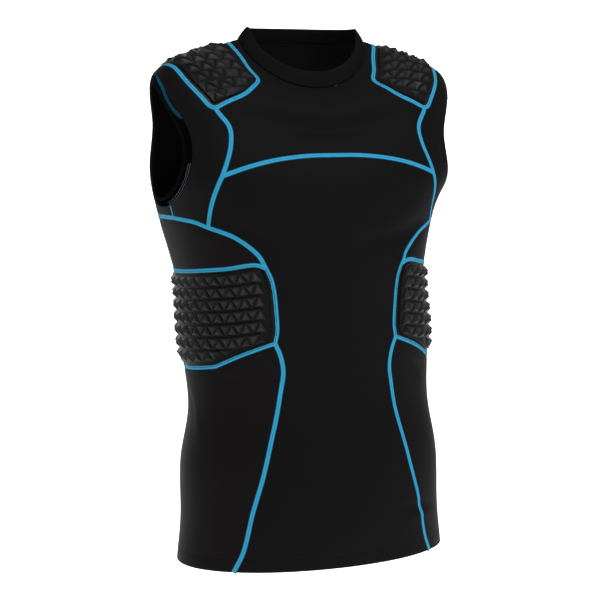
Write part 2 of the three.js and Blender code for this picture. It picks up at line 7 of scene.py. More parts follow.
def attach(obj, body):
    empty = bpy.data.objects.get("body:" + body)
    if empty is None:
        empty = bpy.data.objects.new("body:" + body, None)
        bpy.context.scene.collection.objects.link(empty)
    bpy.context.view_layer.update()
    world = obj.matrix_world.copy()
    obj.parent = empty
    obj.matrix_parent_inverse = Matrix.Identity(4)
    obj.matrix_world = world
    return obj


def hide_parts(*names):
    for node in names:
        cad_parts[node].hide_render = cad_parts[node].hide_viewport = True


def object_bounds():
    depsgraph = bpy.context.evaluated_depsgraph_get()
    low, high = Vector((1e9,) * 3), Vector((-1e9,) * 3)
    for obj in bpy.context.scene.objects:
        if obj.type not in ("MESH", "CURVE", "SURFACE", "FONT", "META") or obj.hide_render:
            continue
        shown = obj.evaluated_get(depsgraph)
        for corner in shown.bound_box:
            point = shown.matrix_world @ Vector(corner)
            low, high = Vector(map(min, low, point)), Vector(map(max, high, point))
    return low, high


# Padded sleeveless compression shirt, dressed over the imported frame. Lengths are in millimetres
# until a mesh is made. The front faces -Y and the wearer's left side is +X.
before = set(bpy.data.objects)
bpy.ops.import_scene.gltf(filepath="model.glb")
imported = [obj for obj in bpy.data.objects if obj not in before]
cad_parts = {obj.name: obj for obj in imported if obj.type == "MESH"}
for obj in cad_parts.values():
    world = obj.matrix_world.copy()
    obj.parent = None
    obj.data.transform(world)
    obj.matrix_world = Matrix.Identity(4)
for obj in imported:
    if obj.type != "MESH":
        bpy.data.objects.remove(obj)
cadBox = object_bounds()

# The figure under the cloth: the same rows as in the solids, from the hem to the neck seam
figureRows = np.array([
    # halfWidth, front, back, zFront, zSide, zBack, fullness, lean, frontDip
    [172, 110, 121, -632, -632, -632, 0.01, 6, 2],
    [166, 112, 121, -580, -580, -580, 0.02, 7, 2],
    [165, 108, 117, -510, -510, -510, 0.02, 8, 2],
    [154, 98, 111, -440, -440, -440, 0.02, 10, 2],
    [159, 115, 101, -360, -360, -360, 0.03, -4, 2],
    [158, 140, 88, -285, -285, -285, 0.04, -24, 2],
    [175, 151, 85, -212, -210, -215, 0.05, -33, 2],
    [191, 117, 111, -167, -158, -156, 0.06, -2, 2],
    [189, 88, 106, -126, -104, -105, 0.07, 8, 2],
    [188, 84, 83, -112, -42, -66, 0.06, 1, 2],
    [144, 79, 69, -87, -19, -32, 0.03, 3, 1.7],
    [82, 48, 49, -60, 1, 1.5, 0, 3.5, 1.13]], dtype=float)
collarTop = np.array([70.5, 41, 45, -40, 16, 18.5, 0, 6.5, 1], dtype=float)
neckLevel = len(figureRows) - 1

# Seams on the wearer's left half of the front: angle from the centre front, and level
sideLine = [[48, 0], [44.2, 0.45], [40.6, 1.2], [34.4, 1.93], [30.9, 2.63], [27.6, 3.22],
            [25.6, 3.55], [26.4, 3.8], [28.7, 4.0]]
ribPadFront = [[28.7, 4.0], [27.7, 4.2], [28.3, 4.5], [29.2, 4.8], [30.2, 5.0], [32.0, 5.17]]
ribPadTop = [[32.0, 5.17], [37.4, 5.22], [52.9, 5.15], [90, 5.09]]
ribPadBottom = [[28.7, 4.0], [31.5, 3.97], [43.9, 3.83], [57, 3.68], [63, 3.64], [90, 3.59]]
chestCurve = [[32.0, 5.17], [33.9, 5.34], [37.9, 5.5], [44.6, 5.67], [53.7, 5.8]]
underarmCurve = [[53.7, 5.8], [61.6, 5.9], [74.6, 5.96]]
underarmBackCurve = [[74.6, 5.96], [86, 5.975], [98, 5.97], [115, 5.91], [126.3, 5.8]]
yokeLower = [[53.7, 5.8], [50.6, 6.12], [46.8, 6.5], [42, 6.98]]
yokeUpper = [[42, 6.98], [39.6, 7.3], [37.4, 7.75], [37.2, 8.38], [41.7, 8.85]]
yokeArc = [[42, 6.98], [29.5, 7.28], [20, 7.45], [10, 7.55], [0, 7.57]]
shoulderPadFoot = [[41.7, 8.85], [40.2, 9.04], [37.9, 9.7], [38.7, 10.16], [40.1, 10.44]]
shoulderPadInner = [[40.1, 10.44], [41.8, 10.58], [49.7, 10.67], [68.2, 10.82], [90, 10.78]]
shoulderPadOuter = [[41.7, 8.85], [43.9, 8.83], [47.5, 9.01], [57, 9.22], [73.2, 9.42], [90, 9.37]]

# The shoulder pad's border behind: angles from the centre back
yokeUpperBack = [[42, 6.98], [39.4, 7.35], [38.6, 7.8], [41, 8.27]]
padFootBehind = [[41, 8.27], [38.4, 8.4], [30.4, 8.74], [26.4, 9.02], [24.4, 9.22]]
padInnerBehind = [[24.4, 9.22], [24.6, 9.42], [29, 9.75], [39.9, 10.2], [68, 10.7], [90, 10.78]]
padOuterBehind = [[41, 8.27], [46, 8.45], [51, 8.7], [57, 8.95], [70, 9.15], [90, 9.37]]
armhole = {"angle": 90.0, "level": 7.58, "frontReach": 36.0, "backReach": 19.0, "rise": 1.41,
           "lowForward": 6.0}

# What a user would change of the cloth and of the flatlock seams that join it
cloth = {"thickness": 1.6, "seamGap": 0.3, "hem": 18.0, "armholeHem": 10.0, "foldStep": 1.2,
         "cellsAcross": 56, "cellsRoundSide": 52, "seamCell": 4.6, "edgeRound": 0.6,
         "stitchDip": 0.32, "stitchDipWidth": 1.5}
flatlock = {"width": 6.6, "underarmWidth": 3.2, "height": 0.75, "step": 2.5, "stitchPitch": 2.3,
            "stitchReach": 0.36, "stitchLift": 0.7, "valley": 0.7, "valleyWidth": 6.0,
            "clear": 0.02, "innerShare": 0.6, "lowestEdge": -0.2, "stackStep": 0.06, "smoothings": 6}

# Soft creases and swells. Each has its points in the chart, its half width and its rise, and the
# ones in the first list lie on both halves.
pairedCreases = [
    ([[47, 5.87], [40, 5.76], [31, 5.64], [22, 5.56], [12, 5.53], [4, 5.53]], 12, -4.5),
    ([[44, 6.3], [30, 6.15], [16, 6.12]], 24, 3.0),
    ([[50, 8.3], [49.5, 7.7], [51.7, 7.1], [57, 6.5]], 4, -0.8),
    ([[46, 8.4], [45.5, 7.85], [47, 7.35]], 4, 0.7),
    ([[60, 3.4], [48, 3.5], [40, 3.66]], 5, -1.2)]
singleCreases = [
    ([[-98, 3.24], [-88, 3.08], [-81, 2.7]], 5, -1.3),
    ([[-88, 3.2], [-81, 2.85], [-72, 2.46]], 6, 1.2),
    ([[67, 3.28], [58, 3.36], [48, 3.5], [41, 3.62]], 4, -1.8),
    ([[62, 3.2], [52, 3.28], [44, 3.42]], 5, 1.3),
    ([[24, 1.12], [41, 1.14], [56, 1.05]], 6, -1.5),
    ([[22, 0.95], [40, 0.95], [54, 0.88]], 6, 1.0),
    ([[29, 5.19], [33, 5.24], [40, 5.27]], 3.5, 1.0)]


def catmullRom(a, b, c, d, t):
    squared = 2 * a - 5 * b + 4 * c - d
    cubed = 3 * b - a - 3 * c + d
    return 0.5 * (2 * b + (c - a) * t + squared * t ** 2 + cubed * t ** 3)


belowHem = 2 * figureRows[0] - figureRows[1]
pastNeck = 2 * figureRows[-1] - figureRows[-2]
endedRows = np.vstack([belowHem, figureRows, pastNeck])


def sectionAt(level):
    i = np.clip(np.floor(level).astype(int), 0, neckLevel - 1)
    t = (level - i)[..., None]
    return catmullRom(endedRows[i], endedRows[i + 1], endedRows[i + 2], endedRows[i + 3], t)


def onSection(section, angle):
    turn = np.radians(angle)
    sine, cosine = np.sin(turn), np.cos(turn)
    halfWidth, front, back, zFront, zSide, zBack, fullness, lean, frontDip = np.moveaxis(section, -1, 0)
    full = 1 + fullness * np.sin(2 * turn) ** 2
    inFront = cosine > 0
    depth = np.where(inFront, front, back)
    ends = np.where(inFront, zFront, zBack)
    toEnd = np.abs(cosine) ** np.where(inFront, frontDip, 2)
    return np.stack([halfWidth * sine * full, -depth * cosine * full - lean,
                     zSide * (1 - toEnd) + ends * toEnd], axis=-1)


def bodyPoint(chart):
    chart = np.asarray(chart, dtype=float)
    return onSection(sectionAt(chart[..., 1]), chart[..., 0])


def unit(vectors):
    return vectors / np.maximum(np.linalg.norm(vectors, axis=-1, keepdims=True), 1e-12)


def bodyNormal(chart):
    chart = np.asarray(chart, dtype=float)
    turn, rise = np.array([0.05, 0.0]), np.array([0.0, 0.01])
    return unit(np.cross(bodyPoint(chart + turn) - bodyPoint(chart - turn),
                         bodyPoint(chart + rise) - bodyPoint(chart - rise)))


# Curves in the chart. The back is the front turned about the side, the right is the left mirrored.
def toBack(curve):
    return np.array([[180 - angle, level] for angle, level in curve])


def toRight(curve):
    return np.array([[-angle, level] for angle, level in curve])


def joined(*curves):
    return np.vstack([curves[0], *[np.asarray(curve)[1:] for curve in curves[1:]]])


def lengthsAlong(chart):
    steps = np.linalg.norm(np.diff(bodyPoint(chart), axis=0), axis=1)
    return np.concatenate([[0], np.cumsum(steps)])


def smooth(points, perSpan=24):
    points = np.asarray(points, dtype=float)
    ends = np.vstack([2 * points[0] - points[1], points, 2 * points[-1] - points[-2]])
    t = np.arange(perSpan)[:, None] / perSpan
    spans = [catmullRom(*ends[i:i + 4], t) for i in range(len(points) - 1)]
    return np.vstack([*spans, points[-1:]])


def even(chart, count, starts=()):
    chart = np.asarray(chart, dtype=float)
    along = lengthsAlong(chart)
    begun = starts[-1] if starts else 0.0
    rest = np.linspace(begun, along[-1], count - len(starts) + 1)[1:]
    wanted = np.concatenate([[0], starts, rest])
    return np.stack([np.interp(wanted, along, chart[:, c]) for c in (0, 1)], axis=1)


def seam(points, count=None, starts=()):
    curve = smooth(points)
    count = count or max(2, round(lengthsAlong(curve)[-1] / cloth["seamCell"]))
    return even(curve, count, starts)


def levelRun(start, end, level, count):
    return np.stack([np.linspace(start, end, count + 1), np.full(count + 1, float(level))], axis=1)


def rowsBetween(low, high, count):
    return np.stack([low + (high - low) * (j / count) for j in range(count + 1)])


# A grid of chart points filling the space between four curves that meet at their ends
def fillBetween(bottom, top, left, right):
    part = np.linspace(0, 1, len(bottom))[None, :, None]
    blend = (np.linspace(0, 1, len(left)) ** 2)[:, None, None]
    bottom, top = bottom[None], top[None]
    left, right = left[:, None], right[:, None]
    ends = (1 - part) * bottom[:, :1] + part * bottom[:, -1:]
    tops = (1 - part) * top[:, :1] + part * top[:, -1:]
    sides = (1 - part) * left + part * right
    return sides + (1 - blend) * (bottom - ends) + blend * (top - tops)


# Spreads the rows from firstRow to the top evenly down the middle of a grid
def spreadMiddle(grid, firstRow):
    half = (grid.shape[1] - 1) / 2
    m = int(half)
    wanted = np.linspace(grid[firstRow, m, 1], grid[-1, m, 1], len(grid) - firstRow)
    shift = wanted - grid[firstRow:, m, 1]
    weight = 1 - np.abs(np.arange(grid.shape[1]) / half - 1)
    spread = grid.copy()
    spread[firstRow:, :, 1] += shift[:, None] * weight[None]
    return spread


hem = cloth["hem"]
hemSteps = (4.5, 9.0, 13.5, hem - 2.4, hem - 1.4, hem - 0.7, hem, hem + 0.7, hem + 1.4, hem + 2.6)
side = seam(sideLine, None, hemSteps)
padFront = seam(ribPadFront)
chest = seam(chestCurve)
underarm = seam(underarmCurve)
underarmBack = seam(underarmBackCurve)
lowerYoke = seam(yokeLower)
upperYoke = seam(yokeUpper)
arc = seam(np.vstack([toRight(yokeArc), np.array(yokeArc)[::-1][1:]]), cloth["cellsAcross"])
padFoot = seam(shoulderPadFoot)
padInner = seam(shoulderPadInner)
padOuter = seam(shoulderPadOuter)
backYoke = seam(toBack(yokeUpperBack))
backFoot = seam(toBack(padFootBehind))
backInner = seam(toBack(padInnerBehind))
backOuter = seam(toBack(padOuterBehind))
overArm = joined(chest, underarm, underarmBack, toBack(chest[::-1]))
padTop = seam(joined(ribPadTop, toBack(ribPadTop)[::-1]), len(overArm) - 1)
padBottom = seam(joined(ribPadBottom, toBack(ribPadBottom)[::-1]), cloth["cellsRoundSide"])
underarmSeam = np.array([[74.6, 5.96], [75.0, 6.2]])
neckRing = levelRun(0, 360, neckLevel, 120)

# The blue flatlock seams, each a run in the chart of the left half
shoulderLoop = joined(padFoot, padInner, backInner[::-1], backFoot[::-1], backOuter, padOuter[::-1])
flatlockRuns = {
    "edge_front": joined(side, padFront, chest, underarm),
    "edge_back": joined(toBack(joined(side, padFront, chest)), underarmBack[::-1]),
    "rib_top": padTop,
    "rib_bottom": padBottom,
    "yoke": joined(lowerYoke, upperYoke),
    "shoulder": shoulderLoop,
    "underarm": underarmSeam,
}


# How far forward the armhole's lower half lies, by its height above the middle from -1 to 1
def lowShift(height):
    return armhole["lowForward"] * np.maximum(0, -height) ** 3


# The armhole's oval between two turns, measured from the front at the armhole's own level
def armholeRun(start, end, count):
    turn = np.radians(np.linspace(start, end, count + 1))
    reach = np.where(np.cos(turn) > 0, armhole["frontReach"], armhole["backReach"])
    angle = armhole["angle"] - reach * np.cos(turn) - lowShift(np.sin(turn))
    return np.stack([angle, armhole["level"] + armhole["rise"] * np.sin(turn)], axis=1)


# Chart points moved sideways over the cloth, by millimetres to the left of the run
def beside(run, offset):
    run = np.asarray(run, dtype=float)
    points, normal = bodyPoint(run), bodyNormal(run)
    across = unit(np.cross(normal, np.gradient(points, axis=0)))
    moved = run.copy()
    for _ in range(4):
        turn = (bodyPoint(moved + [0.05, 0]) - bodyPoint(moved - [0.05, 0])) / 0.1
        rise = (bodyPoint(moved + [0, 0.01]) - bodyPoint(moved - [0, 0.01])) / 0.02
        gap = points + across * offset - bodyPoint(moved)
        basis = np.stack([turn, rise], axis=-1)
        inverse = np.linalg.pinv(basis)
        moved = moved + np.einsum("nij,nj->ni", inverse, gap)
    return moved


def treeOf(points):
    tree = kdtree.KDTree(len(points))
    for i, point in enumerate(points):
        tree.insert(Vector(point), i)
    tree.balance()
    return tree


def samplesOf(run, step):
    run = np.asarray(run, dtype=float)
    fine = even(run, max(2, round(lengthsAlong(run)[-1] / step)))
    return np.vstack([bodyPoint(fine), bodyPoint(toRight(fine))])


armholeEdge = armholeRun(0, 360, 96)
# As signed, this offset sets the line in the open armhole, about 9 mm from the cloth
armholeStitch = beside(armholeEdge, -cloth["armholeHem"])
hemLevel = np.interp(hem, lengthsAlong(side), side[:, 1])
hemStitch = levelRun(0, 360, hemLevel, 240)
seamTree = treeOf(np.vstack([samplesOf(run, 3.0) for run in (*flatlockRuns.values(), arc, neckRing)]))
stitchTree = treeOf(np.vstack([samplesOf(run, 1.5) for run in (armholeStitch, hemStitch)]))


# How far creases, seams and stitch lines move the cloth outwards at points on the figure
def clothRise(points):
    rise = np.zeros(len(points))
    creases = list(singleCreases)
    for path, halfWidth, height in pairedCreases:
        creases += [(path, halfWidth, height), (toRight(path), halfWidth, height)]
    for path, halfWidth, height in creases:
        bent = bodyPoint(smooth(path, 6))
        best = np.full(len(points), 1e9)
        along = np.zeros(len(points))
        for k in range(len(bent) - 1):
            span = bent[k + 1] - bent[k]
            t = np.clip(((points - bent[k]) @ span) / (span @ span), 0, 1)
            gap = np.linalg.norm(points - bent[k] - t[:, None] * span, axis=1)
            closer = gap < best
            best = np.where(closer, gap, best)
            along = np.where(closer, (k + t) / (len(bent) - 1), along)
        fade = np.sin(np.pi * np.clip(along, 0.05, 0.95)) ** 0.7
        rise += height * fade * np.exp(-(best / halfWidth) ** 2)
    toSeam = np.array([seamTree.find(Vector(p))[2] for p in points])
    toStitch = np.array([stitchTree.find(Vector(p))[2] for p in points])
    rise -= flatlock["valley"] * np.exp(-(toSeam / flatlock["valleyWidth"]) ** 2)
    return rise - cloth["stitchDip"] * np.exp(-(toStitch / cloth["stitchDipWidth"]) ** 2)


def clothPoint(chart):
    flat = np.asarray(chart, dtype=float).reshape(-1, 2)
    base = bodyPoint(flat)
    lifted = base + bodyNormal(flat) * clothRise(base)[:, None]
    return lifted.reshape(*np.shape(chart)[:-1], 3)


print("chart and seams ready", flush=True)

# Metres round and up the cloth, for the knit's pattern
levels = np.arange(neckLevel + 1)
sideRun = bodyPoint(np.stack([np.full(neckLevel + 1, 60.0), levels], axis=1))
upTo = np.concatenate([[0], np.cumsum(np.linalg.norm(np.diff(sideRun, axis=0), axis=1))])
halfGirths = (figureRows[:, 0] + figureRows[:, 1]) / 2


def weaveCoordinates(chart):
    halfGirth = np.interp(chart[:, 1], levels, halfGirths)
    turn = np.radians((chart[:, 0] + 180) % 360 - 180)
    return np.stack([turn * halfGirth, np.interp(chart[:, 1], levels, upTo)], axis=1) * 1e-3


def makeObject(name, vertices, faces, material, uv=None):
    mesh = bpy.data.meshes.new(name)
    mesh.from_pydata((np.asarray(vertices) * 1e-3).tolist(), [], [list(map(int, f)) for f in faces])
    mesh.update()
    if uv is not None:
        layer = mesh.uv_layers.new(name="weave")
        corners = np.zeros(len(mesh.loops), dtype=int)
        mesh.loops.foreach_get("vertex_index", corners)
        layer.data.foreach_set("uv", np.asarray(uv)[corners].astype(np.float32).ravel())
    mesh.polygons.foreach_set("use_smooth", [True] * len(mesh.polygons))
    mesh.materials.append(material)
    obj = bpy.data.objects.new(name, mesh)
    bpy.context.scene.collection.objects.link(obj)
    return obj


# The object with its modifiers made part of the mesh
def applied(obj):
    graph = bpy.context.evaluated_depsgraph_get()
    mesh = bpy.data.meshes.new_from_object(obj.evaluated_get(graph), depsgraph=graph)
    mesh.name = obj.name
    obj.modifiers.clear()
    obj.data = mesh
    return obj


def rounded(obj, width, angle=40.0, segments=2):
    bevel = obj.modifiers.new("round", "BEVEL")
    bevel.width = width * 1e-3
    bevel.segments = segments
    bevel.limit_method = "ANGLE"
    bevel.angle_limit = math.radians(angle)
    bevel.use_clamp_overlap = True
    return applied(obj)


# A piece of cloth from grids of chart points, with an outside, an inside and a wall
class Sheet:
    def __init__(self, which=1):
        self.which = which
        self.charts = []
        self.depths = []
        self.faces = []
        self.count = 0

    def add(self, grid, depth=None, which=None):
        which = which or self.which
        rows, columns = grid.shape[:2]
        ids = np.arange(rows * columns).reshape(rows, columns)
        quads = np.stack([ids[:-1, :-1], ids[:-1, 1:], ids[1:, 1:], ids[1:, :-1]], axis=-1).reshape(-1, 4)
        corners = grid.reshape(-1, 2)[quads]
        following = np.roll(corners, -1, axis=1)
        area = (corners[..., 0] * following[..., 1] - following[..., 0] * corners[..., 1]).sum()
        if (area < 0) != (which < 0):
            quads = quads[:, ::-1]
        self.charts.append(grid.reshape(-1, 2) * [which, 1])
        self.depths.append(np.full(rows * columns, cloth["thickness"]) if depth is None else depth.ravel())
        self.faces.append(quads + self.count)
        self.count += rows * columns

    def build(self, name, material):
        chart = np.vstack(self.charts)
        keys = np.stack([np.round((chart[:, 0] % 360) * 2e3), np.round(chart[:, 1] * 2e4)], axis=1)
        _, first, inverse = np.unique(keys, axis=0, return_index=True, return_inverse=True)
        inverse = inverse.ravel()
        depth = np.zeros(len(first))
        np.maximum.at(depth, inverse, np.concatenate(self.depths))
        chart = chart[first]
        merged = inverse[np.vstack(self.faces)].tolist()
        faces = [[i for k, i in enumerate(f) if i != f[k - 1]] for f in merged]
        faces = [f for f in faces if len(set(f)) > 2]
        outside, normal = clothPoint(chart), bodyNormal(chart)
        border = {}
        for f in faces:
            for a, b in zip(f, f[1:] + f[:1]):
                if (b, a) in border:
                    del border[(b, a)]
                else:
                    border[(a, b)] = True
        inward = {}
        for a, b in border:
            along = unit(outside[b] - outside[a])
            for i in (a, b):
                inward.setdefault(i, []).append(unit(np.cross(normal[i], along)))
        for i, into in inward.items():
            shift = sum(into) / (1 + max(float(into[0] @ into[-1]), -0.5))
            outside[i] += shift * cloth["seamGap"] / 2
        inside = outside - normal * depth[:, None]
        n = len(chart)
        walls = [[b, a, n + a, n + b] for a, b in border]
        lining = [[n + i for i in reversed(f)] for f in faces]
        uv = weaveCoordinates(chart)
        points, coordinates = np.vstack([outside, inside]), np.vstack([uv, uv])
        obj = makeObject(name, points, faces + lining + walls, material, coordinates)
        return rounded(obj, cloth["edgeRound"])


# The turned-up hem lies double below its stitch line
def hemDepth(grid):
    depth = np.full(grid.shape[:2], cloth["thickness"])
    depth[:np.searchsorted(lengthsAlong(side), hem + 0.01)] *= 2
    return depth


# The cloth between the armhole and the seam outside it, with the armhole's edge turned in
def armholeGrid(outerSeam):
    centre = np.array([armhole["angle"], armhole["level"]])
    reach = np.where(outerSeam[:, 0] < armhole["angle"], armhole["frontReach"], armhole["backReach"])
    offset = outerSeam - centre
    upward = offset[:, 1] / armhole["rise"]
    far = np.hypot(offset[:, 0] / reach, upward)
    edge = centre + offset / far[:, None]
    edge[:, 0] -= lowShift(upward / far)
    width = np.linalg.norm(bodyPoint(edge) - bodyPoint(outerSeam), axis=1)
    fold = cloth["armholeHem"] / width
    past = (cloth["armholeHem"] + cloth["foldStep"]) / width
    parts = [0 * fold, fold * 0.33, fold * 0.66, fold * 0.87, fold, past]
    parts += [past + (1 - past) * k / 5 for k in range(1, 6)]
    grid = np.stack([edge + (outerSeam - edge) * part[:, None] for part in parts], axis=1)
    depth = np.full(grid.shape[:2], cloth["thickness"])
    depth[:, :5] *= 2
    return grid, depth


def frontPanel():
    left = joined(side, padFront, chest, lowerYoke)
    bottom = levelRun(-sideLine[0][0], sideLine[0][0], 0, cloth["cellsAcross"])
    grid = fillBetween(bottom, arc, toRight(left), left)
    sheet = Sheet()
    sheet.add(grid, hemDepth(grid))
    return sheet


# The cloth at the neck, in front or behind: along the pads' ends and up to the neck seam
def addNeckCloth(sheet, foot, inner):
    angle, level = foot[-1]
    far = -angle if angle < 90 else 360 - angle
    between = levelRun(far, angle, level, cloth["cellsAcross"])
    rows = max(6, round(np.linalg.norm(np.diff(bodyPoint([[angle, level], [angle, neckLevel]]), axis=0)) / 5))
    sheet.add(rowsBetween(between, levelRun(far, angle, neckLevel, cloth["cellsAcross"]), rows))
    for which in (-1, 1):
        sheet.add(rowsBetween(inner, levelRun(angle, 90, neckLevel, len(inner) - 1), rows), which=which)
    return between


def yokePanel():
    sheet = Sheet()
    between = addNeckCloth(sheet, padFoot, padInner)
    left = joined(upperYoke, padFoot)
    sheet.add(spreadMiddle(fillBetween(arc, between, toRight(left), left), 0))
    return sheet


def backPanel():
    sheet = Sheet()
    between = addNeckCloth(sheet, backFoot, backInner)
    below = joined(toBack(joined(side, padFront, chest, lowerYoke)), backYoke)
    left = joined(below, backFoot)
    right = left * [-1, 1] + [360, 0]
    bottom = levelRun(180 - sideLine[0][0], 180 + sideLine[0][0], 0, cloth["cellsAcross"])
    grid = spreadMiddle(fillBetween(bottom, between[::-1], left, right), len(below) - len(backYoke))
    sheet.add(grid, hemDepth(grid))
    around, depth = armholeGrid(joined(underarmBack, toBack(lowerYoke), backYoke, backOuter))
    for which in (-1, 1):
        sheet.add(around, depth, which)
    return sheet


def armholePanel(which):
    sheet = Sheet(which)
    sheet.add(*armholeGrid(joined(underarm[::-1], lowerYoke, upperYoke, padOuter)))
    return sheet


def lowerSide(which):
    bottom = levelRun(sideLine[0][0], 180 - sideLine[0][0], 0, cloth["cellsRoundSide"])
    grid = fillBetween(bottom, padBottom, side, toBack(side))
    sheet = Sheet(which)
    sheet.add(grid, hemDepth(grid))
    return sheet


# A crescent with both ends cut to a narrow tip
def upperSide(which):
    sheet = Sheet(which)
    sheet.add(rowsBetween(padTop, overArm, 10)[:, 1:-1])
    return sheet


collarKnit = {"thickness": 3.0, "ribs": 230, "stepsPerRib": 6, "ribDepth": 0.24, "foldRadius": 1.5,
              "bulge": 0.5}


# The collar's knit band, cut double and folded at its top edge, with upright ribs on both faces
def collarBand(material):
    count = collarKnit["ribs"] * collarKnit["stepsPerRib"]
    angle = np.arange(count) * 360 / count
    neck = np.repeat(figureRows[-1:], count, axis=0)
    low = onSection(neck, angle)
    high = onSection(np.repeat(collarTop[None], count, axis=0), angle)
    along = unit(onSection(neck, angle + 1) - onSection(neck, angle - 1))
    up = unit(high - low)
    out = unit(np.cross(along, up))
    height = np.linalg.norm(high - low, axis=1)
    wave = 0.5 + 0.5 * np.cos(np.radians(angle) * collarKnit["ribs"])
    thick, r = collarKnit["thickness"], collarKnit["foldRadius"]
    rises = [(np.full(count, 0.3), 0.0), (np.full(count, 1.5), 0.6)]
    rises += [(height * part, 1.0) for part in (0.2, 0.4, 0.6, 0.8)]
    rises.append((height - r, 1.0))
    rings = []
    for rise, share in rises:
        bulge = collarKnit["bulge"] * np.sin(np.pi * rise / height)
        lift = bulge + share * collarKnit["ribDepth"] * wave
        rings.append(low + up * rise[:, None] + out * lift[:, None])
    for turn in np.linspace(0, math.pi, 9)[1:-1]:
        lift = -thick / 2 + thick / 2 * math.cos(turn) + collarKnit["ribDepth"] * wave * math.cos(turn)
        rings.append(low + up * (height - r + r * math.sin(turn))[:, None] + out * lift[:, None])
    for rise, share in reversed(rises):
        lift = -thick - share * collarKnit["ribDepth"] * wave
        rings.append(low + up * rise[:, None] + out * lift[:, None])
    n = len(rings)
    points = np.stack(rings, axis=1).reshape(-1, 3)
    k, j = np.meshgrid(np.arange(count), np.arange(n), indexing="ij")
    k2, j2 = (k + 1) % count, (j + 1) % n
    faces = np.stack([k * n + j, k2 * n + j, k2 * n + j2, k * n + j2], axis=-1).reshape(-1, 4)
    girth = np.linalg.norm(np.roll(low, -1, axis=0) - low, axis=1).sum() * 1e-3
    around = np.repeat(angle / 360 * girth, n)
    uv = np.stack([around, np.tile(np.linspace(0, 0.045, n), count)], axis=1)
    return makeObject("collar_knit", points, faces, material, uv)


# The moulded pads: a block with a rim inside a plain margin, and rows of pyramids on the block
mould = {"wall": 2.4, "block": 1.8, "wallSlope": 0.35, "footGroove": 0.9, "rimWidth": 0.7, "rimLift": 0.5,
         "grooveLead": 1.2, "grooveShare": 0.6, "grooveDepth": 0.5, "footDepth": 0.6, "rimInside": 0.5,
         "innerDrop": 0.1, "floorDrop": 0.15, "innerCorner": 0.3, "fillReach": 0.985, "leastCorner": 0.8,
         "rowFoot": 0.4, "leastFull": 0.25, "roundAngle": 24.0,
         "corner": 4.5, "cornerSteps": 7, "fillLoops": 9, "rowGap": 0.6, "rowBase": 0.1, "pyramid": 3.9,
         "tip": 0.1, "round": 0.22, "shortest": 3.0}
ribPad = {"sideMargin": 7.6, "endMargin": 5.2, "sideFlat": 3.2, "endFlat": 1.0, "rows": 7, "pyramids": 15}
shoulderPad = {"sideMargin": 7.2, "endMargin": 7.0, "sideFlat": 1.4, "endFlat": 1.2, "rows": 12,
               "pyramids": 4}


def chartAt(curve, part):
    whole = np.asarray(part) * (len(curve) - 1)
    i = np.clip(np.floor(whole).astype(int), 0, len(curve) - 2)
    return curve[i] + (curve[i + 1] - curve[i]) * (whole - i)[..., None]


# A pad between four seams: bottom and top run across it, left and right run up it
class Pad:
    def __init__(self, size, bottom, top, left, right):
        self.size = size
        self.seams = bottom, top, left, right
        self.columns = 2 * size["pyramids"]
        self.spans = np.linspace(0, 1, 25)
        across = [self.inPad(np.full(len(self.spans), u), self.spans) for u in self.spans]
        self.heights = np.array([lengthsAlong(run)[-1] for run in across])
        self.width = lengthsAlong(self.inPad(self.spans, np.full(len(self.spans), 0.5)))[-1]
        self.tallest = self.heights.max()

    def inPad(self, u, v):
        bottom, top, left, right = self.seams
        u, v = np.asarray(u, dtype=float), np.asarray(v, dtype=float)
        part, blend = u[..., None], v[..., None]
        ends = (1 - part) * bottom[0] + part * bottom[-1]
        tops = (1 - part) * top[0] + part * top[-1]
        sides = (1 - part) * chartAt(left, v) + part * chartAt(right, v)
        return sides + (1 - blend) * (chartAt(bottom, u) - ends) + blend * (chartAt(top, u) - tops)

    # A place by column and by row from the top, and how far it is cut off by the lower edge
    def place(self, column, row):
        sideInset = self.size["sideMargin"] + self.size["sideFlat"]
        endInset = self.size["endMargin"] + self.size["endFlat"]
        u = sideInset / self.width + (np.asarray(column) / self.columns) * (1 - 2 * sideInset / self.width)
        height = np.interp(u, self.spans, self.heights)
        down = endInset + np.asarray(row) * (self.tallest - 2 * endInset) / self.size["rows"]
        lowest = height - endInset
        return self.inPad(u, 1 - np.minimum(down, lowest) / height), down - lowest

    # Chart points once round, at an inset from the seams, anticlockwise from the lower left corner.
    # The corners are round, or square where the ring lies on the seams themselves.
    def ring(self, sideInset, endInset, radius, square=False):
        part = np.linspace(0, 1, mould["cornerSteps"])
        if square:
            x, y = radius * np.maximum(0, 2 * part - 1), radius * np.maximum(0, 1 - 2 * part)
        else:
            turn = part * math.pi / 2
            x, y = radius * (1 - np.cos(turn)), radius * (1 - np.sin(turn))
        x, y = (sideInset + x) / self.width, endInset + y
        across = np.linspace(x[-1], 1 - x[-1], 4 * self.size["pyramids"] + 1)[1:-1]
        up = np.linspace(0, 1, 3 * self.size["rows"] + 1)[1:-1]
        endHeights = np.interp([x[0], 1 - x[0]], self.spans, self.heights)
        parts = []
        for atRight in (False, True):
            u = 1 - x if atRight else x
            v = y / np.interp(u, self.spans, self.heights)
            lower, upper = np.stack([u, v], axis=1), np.stack([u, 1 - v], axis=1)
            low = y[0] / endHeights[int(atRight)]
            edge = np.stack([np.full(len(up), u[0]), low + up * (1 - 2 * low)], axis=1)
            parts.append((lower, edge, upper))
        level = endInset / np.interp(across, self.spans, self.heights)
        bottom = np.stack([across, level], axis=1)
        top = np.stack([across, 1 - level], axis=1)
        (leftLow, leftEdge, leftHigh), (rightLow, rightEdge, rightHigh) = parts
        around = np.vstack([leftLow, bottom, rightLow[::-1], rightEdge, rightHigh, top[::-1],
                            leftHigh[::-1], leftEdge[::-1]])
        return self.inPad(around[:, 0], around[:, 1])


